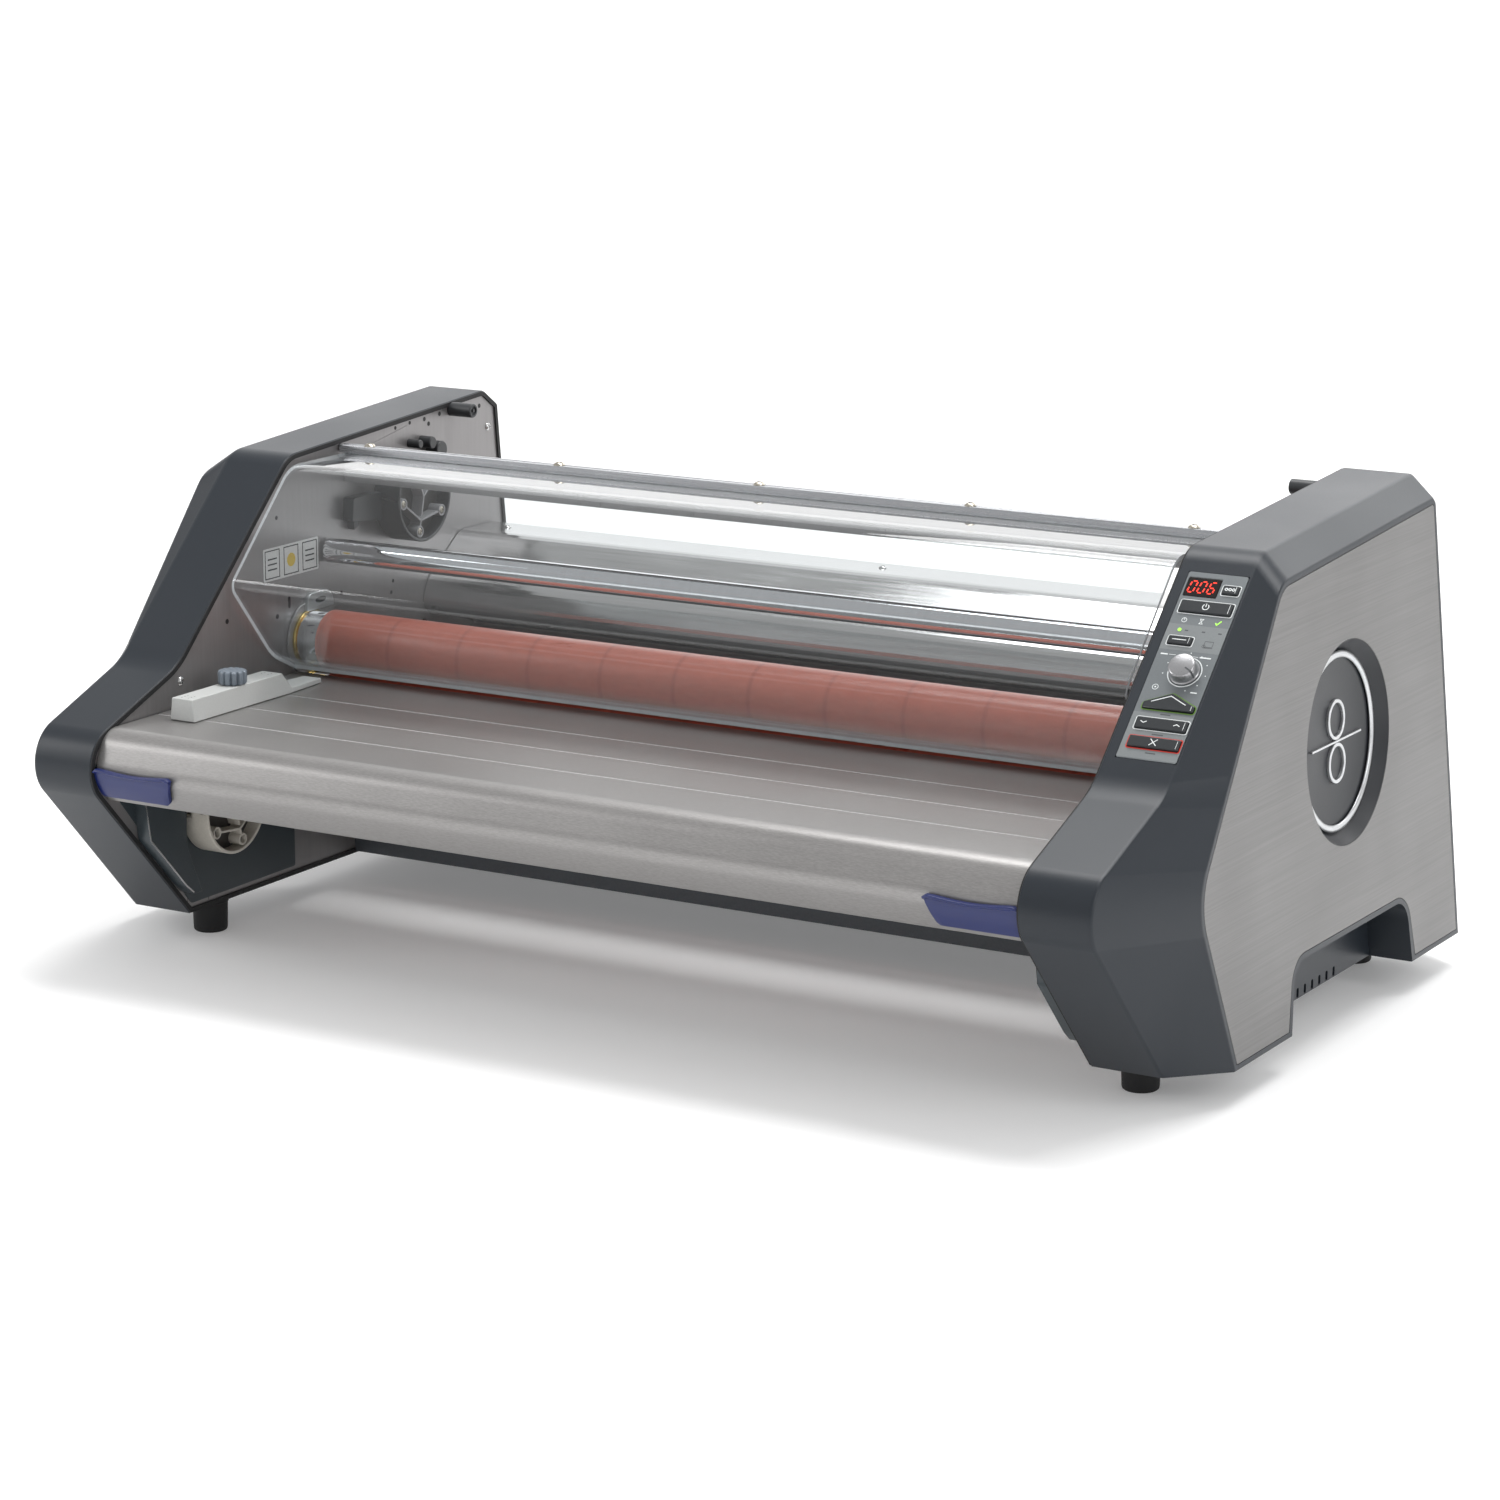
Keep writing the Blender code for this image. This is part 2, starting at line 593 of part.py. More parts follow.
def hubs():
    """Core hubs with a recessed end, one on each side plate for each film supply roll."""
    radius = 0.0355
    inside = radius - 0.0026
    for height, axis, finish in (("upper", HUB_UPPER, PAINTED), ("lower", HUB_LOWER, CREAM)):
        for side, turn in (("left", 1), ("right", -1)):
            place = frame_at((-turn * INNER, *axis), (0, 1, 0), (0, 0, turn))
            turned(f"{side}_{height}_hub", (
                (0, 0.0130), (inside, 0.0130), (inside, 0.0250), (radius - 0.0006, 0.0250), (radius, 0.0244),
                (radius, 0.0010), (0.0060, 0.0010), (0.0060, -0.0100), (0, -0.0100)), finish, place, 24)


# Feed table
def feed_table():
    route = eased([(-0.0310, TABLE_TOP, 0, 1), (-0.2635, TABLE_TOP, 0.0125, 5), (-0.2758, 0.1550, 0.0080, 4),
                   (-0.2615, 0.1305, 0.0010, 1), (-0.2455, 0.1345, 0, 1)])
    table = sheet("feed_table", route, 0.003, TABLE_HALF, ALUMINIUM, -1)
    for k, y in enumerate((-0.203, -0.153, -0.103)):
        groove = box(f"table_groove_{k}", (-0.5, y - 0.0009, TABLE_TOP - 0.0012), (0.5, y + 0.0009, 0.2),
                     None, cutters)
        cut(table, groove)


def latches():
    """Finger tab hooked under the nose of the table, next to each cover."""
    y, z = LATCH_AXIS
    low, high = 0.3030, 0.3712
    outline = ((-0.2805, 0.1560), (-0.2805, 0.1578), (-0.2752, 0.1578), (-0.2752, 0.1535), (-0.2728, 0.1474),
               (-0.2662, 0.1367), (-0.2690, 0.1350), (-0.2745, 0.1440), (-0.2772, 0.1510), (-0.2780, 0.1550))
    right = prism("right_latch", outline, low, high, BLUE)
    left = mirrored(right, "left_latch")
    for piece in (right, left):
        set_origin(piece, (0, y, z))


def guide():
    """Side guide with a sloped front end, a low rear tongue and a clamp knob."""
    base = TABLE_TOP + GAP
    bm = bmesh.new()
    sections = ((-0.2140, 0.0110, 0.0165), (-0.1060, 0.0110, 0.0165), (-0.0960, 0.0110, 0.0040),
                (-0.0560, 0.0085, 0.0040))
    rings = []
    for y, half, height in sections:
        top = half - 0.0020 if height > 0.01 else half - 0.0004
        corners = ((-half, 0), (half, 0), (top, height), (-top, height))
        rings.append([bm.verts.new((GUIDE_X + u, y, base + v)) for u, v in corners])
    for first, second in zip(rings, rings[1:]):
        for i in range(4):
            bm.faces.new((first[i - 1], first[i], second[i], second[i - 1]))
    bm.faces.new(rings[0])
    bm.faces.new(rings[-1])
    add("side_guide", bm, PALE)
    bm = bmesh.new()
    outline = []
    for k in range(36):
        turn = 2 * math.pi * k / 36
        radius = 0.0110 - 0.0009 * (k % 3 == 0)
        outline.append((radius * math.cos(turn), radius * math.sin(turn)))
    place = Matrix.Translation((GUIDE_X, -0.1540, base + 0.0165 + GAP + 0.005))
    pierced("guide_knob", [outline], 0.0100, PAINTED, place)


# Clear shield
def shield():
    route = eased([(0.0350, 0.3440, 0, 1), (-0.0435, 0.3440, 0.0120, 6), (-0.1210, 0.2640, 0.0090, 4),
                   (-0.0710, 0.2020, 0.0100, 4), (-0.0430, 0.1885, 0, 1)])
    pane = sheet("shield", route, 0.0028, 0.3665, CLEAR, -1)
    rail = box("shield_rail", (-0.3705, 0.0260, 0.3444), (0.3705, 0.0350, 0.3503), ALUMINIUM)
    pin = turned("rail_pin", ((0, 0.3752), (0.0024, 0.3752), (0.0024, -0.3752), (0, -0.3752)), ALUMINIUM,
                 across_at(*HINGE), 12, cutters)
    cut(rail, pin, "UNION")
    for piece in (pane, rail):
        set_origin(piece, (0, *HINGE))


# Control panel
def key_outline(low, high, ease=0.0008):
    corners = ((low[0], low[1]), (low[0], high[1]), (high[0], high[1]), (high[0], low[1]))
    return [tuple(p) for p in rounded([(*c, ease, 2) for c in corners])]


KEYS = {
    "power_button": ((0.3835, 0.1433), (0.4208, 0.1527)),
    "counter_button": ((0.4087, 0.1603), (0.4203, 0.1671)),
    "film_button": ((0.3845, 0.1172), (0.4015, 0.1236)),
    "slow_rocker": ((0.3850, 0.0497), (0.4215, 0.0583)),
    "stop_button": ((0.3850, 0.0350), (0.4215, 0.0435)),
}
RUN_CORNERS = ((0.3850, 0.0655), (0.3850, 0.0700), (0.4030, 0.0785), (0.4215, 0.0700), (0.4215, 0.0655))
KEY_CLEAR = 0.0004
DISPLAY = ((0.3820, 0.1568), (0.4056, 0.1717))


def grown(low, high, by):
    return (low[0] - by, low[1] - by), (high[0] + by, high[1] + by)


def control_panel():
    thick = 0.0015
    holes = [key_outline(*grown(low, high, KEY_CLEAR)) for low, high in (*KEYS.values(), DISPLAY)]
    run = [tuple(p) for p in rounded([(*c, 0.0008, 1) for c in RUN_CORNERS])]
    run_hole = [tuple(p) for p in rounded(inset([(*c, 0.0008, 1) for c in RUN_CORNERS], -KEY_CLEAR))]
    holes += [run_hole, circle(0.0034, 12, KNOB)]
    edge = key_outline((0.3802, 0.0262), (0.4232, 0.1762))
    pierced("control_plate", [edge] + holes, thick, BRUSHED, PANEL @ Matrix.Translation((0, 0, 0.0001 - thick / 2)))
    depth, proud = 0.0040, 0.0018
    middle = (proud - depth) / 2
    for name, (low, high) in KEYS.items():
        centre = ((low[0] + high[0]) / 2, (low[1] + high[1]) / 2, middle)
        half = ((high[0] - low[0]) / 2, (high[1] - low[1]) / 2)
        pierced(name, [key_outline((-half[0], -half[1]), half)], depth + proud, KEY_BLACK,
                PANEL @ Matrix.Translation(centre))
    pierced("run_button", [run], depth + proud, KEY_BLACK, PANEL @ Matrix.Translation((0, 0, middle)))
    pierced("display", [key_outline(*DISPLAY)], depth + 0.0004, KEY_BLACK,
            PANEL @ Matrix.Translation((0, 0, (0.0004 - depth) / 2)))
    turned("speed_knob", ((0, 0.0090), (0.0086, 0.0090), (0.0094, 0.0082), (0.0098, 0.0016), (0.0104, 0.0006),
                          (0.0030, 0.0006), (0.0030, -0.0060), (0, -0.0060)), ALUMINIUM,
           PANEL @ Matrix.Translation((*KNOB, 0)), 32)
    box("control_board", (0.3845, 0.0310, -0.0100), (0.4190, 0.1700, -0.0084), GREEN_BOARD, None, PANEL)


# Rear electrical pieces
def rear_fittings():
    box("power_inlet", (-0.3246, 0.2365, 0.0554), (-0.2954, 0.2660, 0.0796), RUBBER)
    outline = ((0.2480, 0.0580), (0.2480, 0.0770), (0.2655, 0.0775), (0.2630, 0.0675), (0.2655, 0.0575))
    switch = prism("rear_switch", outline, -0.2790, -0.2650, KEY_BLACK)
    set_origin(switch, (-0.2720, 0.2560, 0.0675))


covers_and_skins()
side_plates()
cross_members()
feet()
drive_train()
bushings()
heater_rods()
idler_bars()
hubs()
feed_table()
latches()
guide()
shield()
control_panel()
rear_fittings()
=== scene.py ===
"""Looks of the tabletop roll laminator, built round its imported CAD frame.

Metres, in the CAD frame: X runs across the machine, -Y is the feed side, the floor is Z = 0.
Every piece is modelled in place, so a material's Object coordinates are places on the machine.
"""

import json
from math import cos, pi, radians, sin, sqrt, tan

import bmesh
import bpy
from mathutils import Matrix, Vector


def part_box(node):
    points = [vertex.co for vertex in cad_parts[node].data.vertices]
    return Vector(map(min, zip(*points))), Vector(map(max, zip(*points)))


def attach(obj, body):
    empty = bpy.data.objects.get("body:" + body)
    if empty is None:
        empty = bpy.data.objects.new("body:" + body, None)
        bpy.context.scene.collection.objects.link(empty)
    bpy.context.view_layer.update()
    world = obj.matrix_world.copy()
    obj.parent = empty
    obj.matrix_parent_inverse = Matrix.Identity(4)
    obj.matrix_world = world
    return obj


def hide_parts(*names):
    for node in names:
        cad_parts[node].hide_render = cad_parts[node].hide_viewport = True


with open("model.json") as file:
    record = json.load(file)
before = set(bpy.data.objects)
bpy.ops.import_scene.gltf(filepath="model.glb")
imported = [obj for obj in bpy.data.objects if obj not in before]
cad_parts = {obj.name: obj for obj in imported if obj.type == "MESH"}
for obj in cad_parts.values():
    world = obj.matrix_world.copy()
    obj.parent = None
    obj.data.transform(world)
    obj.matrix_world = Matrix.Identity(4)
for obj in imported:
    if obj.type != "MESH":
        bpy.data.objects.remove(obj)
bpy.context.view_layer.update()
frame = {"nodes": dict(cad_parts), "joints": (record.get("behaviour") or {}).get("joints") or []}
nodes = frame["nodes"]
JOINTS = {joint["child"]: joint for joint in frame["joints"]}


def axis_of(body):
    """The (y, z) place of the joint axis of a body that turns about X."""
    return tuple(JOINTS[body]["pos_m"][1:])


PLATE_IN = -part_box("left_side_plate")[1].x  # inner face of a side plate
TABLE_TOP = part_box("feed_table")[1].z
INNER = 0.3725  # inner edge of a cover
CREASE = 0.424  # where a cover's band turns into its bevel
OUTER = 0.4596  # outer face of a cover, at its foot
LEAN = 0.04845  # how far that face leans in for each metre of height
BOTTOM = 0.0247  # foot of a cover
WALL = 0.003  # thickness of a cover
HANDHOLD_X = 0.4262  # inner end of the hand-hold
SKIN_RIM = 0.0042  # dark rim round the metal skin
BADGE = (0.0605, 0.2065)  # middle of the badge: y, z
KNOB = (0.4047, 0.0967)  # middle of the speed knob: across and up the panel

# Rounded outlines: y, z, reach of the rounding from the corner, steps in it
BAND = (
    (-0.1711, 0.0247, 0.0, 1),
    (-0.3029, 0.1663, 0.0445, 20),
    (-0.1781, 0.2142, 0.0125, 8),
    (-0.0376, 0.3504, 0.0110, 8),
    (0.2242, 0.3671, 0.0022, 4),
    (0.2437, 0.3538, 0.0022, 4),
    (0.2803, 0.0247, 0.0, 1),
)
FACE = (
    (-0.1343, 0.0247, 0.0, 1),
    (-0.1884, 0.1487, 0.0264, 20),
    (-0.1393, 0.2134, 0.0125, 8),
    (-0.0471, 0.3346, 0.0120, 8),
    (0.2185, 0.3517, 0.0018, 4),
    (0.2229, 0.3475, 0.0018, 4),
    (0.2588, 0.0247, 0.0, 1),
)
HANDHOLD = (
    (-0.0425, 0.0247, 0.0, 1),
    (-0.0355, 0.0737, 0.0160, 8),
    (0.1600, 0.0733, 0.0180, 8),
    (0.1702, 0.0247, 0.0, 1),
)


# Materials
def node(tree, kind, values=(), **properties):
    made = tree.nodes.new(kind)
    for key, value in properties.items():
        setattr(made, key, value)
    for key, value in dict(values).items():
        made.inputs[key].default_value = value
    return made


def new_material(name):
    made = bpy.data.materials.new(name)
    made.use_nodes = True
    return made, made.node_tree


def noise(tree, stretch, detail=3.0, roughness=0.55):
    """Noise over places on the machine, with stretch cycles per metre, or a count for each axis."""
    place = node(tree, "ShaderNodeTexCoord")
    if not isinstance(stretch, tuple):
        stretch = (stretch,) * 3
    scale = node(tree, "ShaderNodeMapping", {"Scale": stretch})
    made = node(tree, "ShaderNodeTexNoise", {"Scale": 1.0, "Detail": detail, "Roughness": roughness})
    tree.links.new(place.outputs["Object"], scale.inputs["Vector"])
    tree.links.new(scale.outputs["Vector"], made.inputs["Vector"])
    return made.outputs["Fac"]


def spread(tree, source, low, high, tight=(0.3, 0.7)):
    made = node(tree, "ShaderNodeMapRange", {
        "From Min": tight[0], "From Max": tight[1], "To Min": low, "To Max": high})
    tree.links.new(source, made.inputs["Value"])
    return made.outputs["Result"]


def blend_colour(tree, source, first, second):
    made = node(tree, "ShaderNodeMix", data_type="RGBA")
    made.inputs["A"].default_value = first
    made.inputs["B"].default_value = second
    tree.links.new(source, made.inputs["Factor"])
    return made.outputs["Result"]


def shade(colour, factor):
    return (*[min(channel * factor, 1.0) for channel in colour], 1.0)


def surface(name, colour, roughness, metallic=0.0, grain=600, contrast=0.06, vary=0.05,
            relief=0.08, depth=0.0002, **sockets):
    """A Principled material: grain moves its colour, roughness and relief, handling marks its gloss."""
    made, tree = new_material(name)
    link = tree.links.new
    shader = tree.nodes["Principled BSDF"]
    shader.inputs["Metallic"].default_value = metallic
    for key, value in sockets.items():
        shader.inputs[key.replace("_", " ")].default_value = value
    fine = noise(tree, grain)
    wide = noise(tree, 9, 2.0)
    dark, light = shade(colour, 1 - contrast), shade(colour, 1 + contrast)
    tone = blend_colour(tree, spread(tree, fine, 0.0, 1.0), dark, light)
    link(tone, shader.inputs["Base Color"])
    gloss = node(tree, "ShaderNodeMath", operation="ADD")
    link(spread(tree, fine, roughness - vary / 2, roughness + vary / 2), gloss.inputs[0])
    link(spread(tree, wide, -vary / 2, vary / 2), gloss.inputs[1])
    link(gloss.outputs[0], shader.inputs["Roughness"])
    bump = node(tree, "ShaderNodeBump", {"Strength": relief, "Distance": depth})
    link(fine, bump.inputs["Height"])
    link(bump.outputs["Normal"], shader.inputs["Normal"])
    return made


CHARCOAL = surface("charcoal_plastic", (0.0165, 0.021, 0.0275), 0.38, grain=1400, relief=0.1,
                   depth=0.0001, Specular_IOR_Level=0.34)
# The cover's charcoal plastic made darker for the badge recess: painted shade.
CUP_PAINTED_SHADE = surface("charcoal_cup_painted_shade", (0.014, 0.016, 0.02), 0.45, grain=1400)
SKIN = surface("brushed_skin", (0.175, 0.172, 0.17), 0.42, 0.55, grain=(900, 7, 900), contrast=0.16, vary=0.1,
               relief=0.1, depth=0.0001)
PANEL_METAL = surface("panel_metal", (0.155, 0.17, 0.178), 0.4, 0.35, grain=1200, contrast=0.05)
PANEL_LIGHT = surface("panel_light", (0.2, 0.215, 0.22), 0.4, 0.35, grain=1200, contrast=0.05)
STEEL = surface("satin_steel", (0.25, 0.242, 0.243), 0.34, 0.55, grain=(300, 300, 14), contrast=0.05,
                vary=0.1, relief=0.05)
ZINC = surface("zinc_sheet", (0.5, 0.5, 0.5), 0.16, 0.9, grain=(10, 350, 350), contrast=0.08, vary=0.1)
# Dark blue-grey for the walls on the side plates below the table, far darker than the plates' steel above.
LOWER_WALL_DARK = surface("lower_wall_dark", (0.034, 0.045, 0.052), 0.34, 0.1, grain=500, relief=0.1)
BRIGHT_STRIP = surface("bright_strip", (0.82, 0.82, 0.82), 0.22, 0.35, grain=(20, 900, 900), contrast=0.05)
# Flat black: painted shade where it stands for holes, vent slots and the bearing dimples, and plain marks on
# the label and the guide.
BLACK_SHADE_AND_PRINT = surface("black_shade_and_print", (0.006, 0.006, 0.007), 0.6, grain=900, contrast=0.2)
KNOB_GREY = surface("knob_grey", (0.17, 0.2, 0.235), 0.36, grain=700)
# Painted shade for the floor of each hub's recess and the bores of its bosses.
WEB_PAINTED_SHADE = surface("web_painted_shade", (0.04, 0.037, 0.034), 0.5, grain=700)
HUB_EDGE = surface("hub_edge", (0.26, 0.26, 0.27), 0.36, grain=700, relief=0.12)
LABEL_YELLOW = surface("label_yellow", (0.62, 0.44, 0.03), 0.4, grain=900)
PAINTED = surface("painted_steel", (0.06, 0.068, 0.078), 0.48, grain=500, contrast=0.1, relief=0.15)
ALUMINIUM = surface("brushed_aluminium", (0.285, 0.277, 0.272), 0.36, 0.62, grain=(260, 1700, 1700),
                    contrast=0.12, vary=0.07, relief=0.14, depth=0.0001)
KNOB_METAL = surface("knob_metal", (0.36, 0.36, 0.37), 0.3, 0.85, grain=1500)
RAIL_METAL = surface("rail_metal", (0.55, 0.56, 0.57), 0.3, 0.85, grain=(5, 900, 900))
RAIL_SATIN = surface("rail_satin", (0.44, 0.45, 0.47), 0.26, 0.85, grain=(5, 900, 900))
CHROME = surface("chrome", (0.8, 0.8, 0.82), 0.07, 1.0, grain=(900, 12, 12), contrast=0.04, relief=0.02)
POLISHED = surface("polished_steel", (0.62, 0.62, 0.63), 0.13, 1.0, grain=(4, 500, 500), contrast=0.04,
                   relief=0.03)
BRASS = surface("brass", (0.8, 0.6, 0.2), 0.2, 1.0, grain=(900, 60, 60), contrast=0.12, vary=0.12)
SCREW_METAL = surface("screw_metal", (0.45, 0.42, 0.36), 0.3, 1.0, grain=900, contrast=0.12, vary=0.1)
RUBBER = surface("black_rubber", (0.007, 0.007, 0.008), 0.7, grain=900, relief=0.4, depth=0.0003)
GREY_RUBBER = surface("grey_rubber", (0.1, 0.1, 0.11), 0.6, grain=(400, 900, 900), relief=0.25)
BLUE = surface("blue_plastic", (0.007, 0.015, 0.1), 0.33, grain=1200, contrast=0.05, relief=0.03,
               depth=0.0001)
CREAM = surface("cream_plastic", (0.56, 0.53, 0.47), 0.45, grain=500, contrast=0.05)
PALE = surface("pale_plastic", (0.5, 0.51, 0.5), 0.4, grain=700, contrast=0.03)
HUB_DARK = surface("hub_plastic", (0.026, 0.028, 0.031), 0.42, grain=700, relief=0.12)
KEY_BLACK = surface("key_plastic", (0.014, 0.017, 0.02), 0.34, grain=1500, relief=0.1, depth=0.0001)
GLOSS_BLACK = surface("display_glass", (0.006, 0.004, 0.004), 0.1, grain=200, relief=0.0)
# White for print, and for the painted highlight lines on the keys.
WHITE_PRINT_AND_KEY_HIGHLIGHT = surface("white_print", (0.72, 0.75, 0.75), 0.5, grain=2500, contrast=0.05)
PRINT_DARK = surface("dark_print", (0.06, 0.065, 0.07), 0.55, grain=2500, contrast=0.1)
LABEL = surface("label_vinyl", (0.62, 0.63, 0.62), 0.4, grain=300, contrast=0.03)
BOARD = surface("circuit_board", (0.02, 0.16, 0.07), 0.4, grain=(700, 260, 700), contrast=0.45)


def glowing(name, colour, strength):
    return surface(name, colour, 0.35, grain=2000, contrast=0.15, Emission_Color=(*colour, 1.0),
                   Emission_Strength=strength)


RED_GLOW = glowing("red_segments", (1.0, 0.035, 0.015), 1.0)
GREEN_GLOW = glowing("green_lamp", (0.32, 0.75, 0.08), 0.7)
STOP_GLOW = glowing("red_rim", (0.45, 0.03, 0.02), 0.25)
RUN_GLOW = glowing("green_rim", (0.1, 0.2, 0.03), 0.15)


def silicone():
    """Heat-resistant rubber with the faint rings that the grinding leaves on the face."""
    made = surface("silicone_rubber", (0.46, 0.125, 0.085), 0.34, grain=(90, 260, 260), contrast=0.07,
                   vary=0.1, relief=0.05, Coat_Weight=0.25, Coat_Roughness=0.22)
    tree = made.node_tree
    link = tree.links.new
    shader = tree.nodes["Principled BSDF"]
    plain = shader.inputs["Base Color"].links[0].from_socket
    place = node(tree, "ShaderNodeTexCoord")
    rings = node(tree, "ShaderNodeTexWave", {"Scale": 4.99, "Distortion": 0.0}, bands_direction="X")
    link(place.outputs["Object"], rings.inputs["Vector"])
    mixed = node(tree, "ShaderNodeMix", data_type="RGBA")
    mixed.inputs["B"].default_value = (0.22, 0.05, 0.035, 1.0)
    link(spread(tree, rings.outputs["Fac"], 0.0, 0.35, (0.985, 1.0)), mixed.inputs["Factor"])
    link(plain, mixed.inputs["A"])
    link(mixed.outputs["Result"], shader.inputs["Base Color"])
    return made


SILICONE = silicone()


def clear_sheet():
    """Clear acrylic: light passes straight through, and the sky and lamps show as reflections."""
    made, tree = new_material("clear_acrylic")
    link = tree.links.new
    tree.nodes.remove(tree.nodes["Principled BSDF"])
    through = node(tree, "ShaderNodeBsdfTransparent", {"Color": (0.895, 0.91, 0.915, 1.0)})
    shine = node(tree, "ShaderNodeBsdfGlossy", {"Color": (1.0, 1.0, 1.0, 1.0)})
    link(spread(tree, noise(tree, 14, 4.0), 0.015, 0.05), shine.inputs["Roughness"])
    tilt = node(tree, "ShaderNodeLayerWeight", {"Blend": 0.5})
    steep = node(tree, "ShaderNodeMath", {1: 4.0}, operation="POWER")
    link(tilt.outputs["Facing"], steep.inputs[0])
    mixed = node(tree, "ShaderNodeMixShader")
    link(spread(tree, steep.outputs[0], 0.045, 1.0, (0.0, 1.0)), mixed.inputs["Fac"])
    link(through.outputs["BSDF"], mixed.inputs[1])
    link(shine.outputs["BSDF"], mixed.inputs[2])
    link(mixed.outputs["Shader"], tree.nodes["Material Output"].inputs["Surface"])
    return made


CLEAR = clear_sheet()
# Painted glint: the clear sheet's cut edges take an opaque light grey for the light shining along them.
CLEAR_EDGE_PAINTED_GLINT = surface("acrylic_edge_painted_glint", (0.62, 0.65, 0.67), 0.25, grain=500, contrast=0.08)


# Meshes
PRINT_DEPTH = 0.00012  # how far a printed shape or a dark spot stands off its surface


def rounded(corners):
    """Points round a closed outline, each corner (y, z, reach, steps) eased by a circular arc."""
    points = []
    for i, (y, z, reach, steps) in enumerate(corners):
        corner = Vector((y, z))
        if reach == 0:
            points.append(corner)
            continue
        before = (Vector(corners[i - 1][:2]) - corner).normalized()
        after = (Vector(corners[(i + 1) % len(corners)][:2]) - corner).normalized()
        start, end = corner + before * reach, corner + after * reach
        weight = sin(before.angle(after) / 2)
        for k in range(steps + 1):
            t = k / steps
            a, b, c = (1 - t) ** 2, 2 * weight * t * (1 - t), t ** 2
            points.append((start * a + corner * b + end * c) / (a + b + c))
    return points


def inset(corners, depth):
    """The same outline with every side moved inwards and its arcs kept concentric."""
    count = len(corners)
    lines = []
    for i in range(count):
        start = Vector(corners[i][:2])
        along = (Vector(corners[(i + 1) % count][:2]) - start).normalized()
        lines.append((start + Vector((along.y, -along.x)) * depth, along))
    shifted = []
    for i, (_, _, reach, steps) in enumerate(corners):
        (p, d), (q, e) = lines[i - 1], lines[i]
        meet = p + d * ((q - p).cross(e) / d.cross(e))
        if reach:
            bend = tan(abs(d.angle(e)) / 2) * (1 if d.cross(e) < 0 else -1)
            reach = max(reach - depth * bend, 0.0003)
        shifted.append((meet.x, meet.y, reach, steps))
    return shifted


def rectangle(low, high, ease=0.0009, grow=0.0, steps=3):
    """Outline of a box between two corners, each corner eased by the same reach."""
    left, base, right, top = low[0] - grow, low[1] - grow, high[0] + grow, high[1] + grow
    corners = ((left, base), (left, top), (right, top), (right, base))
    return rounded([(*corner, ease, steps) for corner in corners])


def circle(radius, count=48, centre=(0.0, 0.0)):
    turns = (2 * pi * k / count for k in range(count))
    return [(centre[0] + radius * cos(t), centre[1] + radius * sin(t)) for t in turns]


def loft(rings, closed_ends=True):
    """A skin over rings of points, one ring after another."""
    bm = bmesh.new()
    loops = [[bm.verts.new(point) for point in ring] for ring in rings]
    for first, second in zip(loops, loops[1:]):
        for i, vert in enumerate(first):
            bm.faces.new((first[i - 1], vert, second[i], second[i - 1]))
    if closed_ends:
        bm.faces.new(loops[0])
        bm.faces.new(loops[-1])
    return bm


def prism(outline, low, high):
    """A flat outline in X and Y, thickened from low to high along Z."""
    return loft([[(p[0], p[1], z) for p in outline] for z in (low, high)])


def lathe(profile, segments=48, closed=False):
    """A profile of (radius, height) turned about Z; a radius of 0 closes it with a point."""
    bm = bmesh.new()
    rows = []
    for radius, height in profile:
        if radius == 0:
            rows.append([bm.verts.new((0, 0, height))] * segments)
            continue
        rows.append([bm.verts.new((x, y, height)) for x, y in circle(radius, segments)])
    pairs = list(zip(rows, rows[1:])) + ([(rows[-1], rows[0])] if closed else [])
    for first, second in pairs:
        for i in range(segments):
            corners = (first[i - 1], first[i], second[i], second[i - 1])
            unique = [v for k, v in enumerate(corners) if v not in corners[:k]]
            if len(unique) > 2:
                bm.faces.new(unique)
    return bm


def disc(radius, low, high, segments):
    """A solid cylinder about Z."""
    return lathe(((0, high), (radius, high), (radius, low), (0, low)), segments)


def block(low, high):
    bm = bmesh.new()
    size = [b - a for a, b in zip(low, high)]
    centre = [(a + b) / 2 for a, b in zip(low, high)]
    bmesh.ops.create_cube(bm, matrix=Matrix.Translation(centre) @ Matrix.Diagonal((*size, 1)))
    return bm


def moved(bm, matrix):
    bmesh.ops.transform(bm, matrix=matrix, verts=bm.verts[:])
    return bm


def mesh_of(name, bm):
    mesh = bpy.data.meshes.new(name)
    bm.to_mesh(mesh)
    bm.free()
    return mesh


def added(name, data):
    """A new object in the scene."""
    made = bpy.data.objects.new(name, data)
    bpy.context.scene.collection.objects.link(made)
    return made


def joined(pieces):
    """Several meshes as one."""
    whole = bmesh.new()
    for bm in pieces:
        mesh = mesh_of("part", bm)
        whole.from_mesh(mesh)
        bpy.data.meshes.remove(mesh)
    return whole


def turned_out(bm):
    """Makes every face of each shell look outwards."""
    bmesh.ops.recalc_face_normals(bm, faces=bm.faces[:])
    return bm


def piece(name, bm, finish, body="frame", stands_for=(), bevel=0.0, sharp=35, segments=2):
    """A mesh becomes a piece that rides on a CAD body."""
    mesh = mesh_of(name, turned_out(bm))
    mesh.shade_smooth()
    mesh.set_sharp_from_angle(angle=radians(sharp))
    mesh.materials.append(finish)
    made = added(name, mesh)
    if bevel:
        ease = made.modifiers.new("eased_edges", "BEVEL")
        ease.width = bevel
        ease.segments = segments
        ease.limit_method = "ANGLE"
        ease.angle_limit = radians(sharp)
        ease.harden_normals = True
    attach(made, body)
    if stands_for:
        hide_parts(*stands_for)
    return made


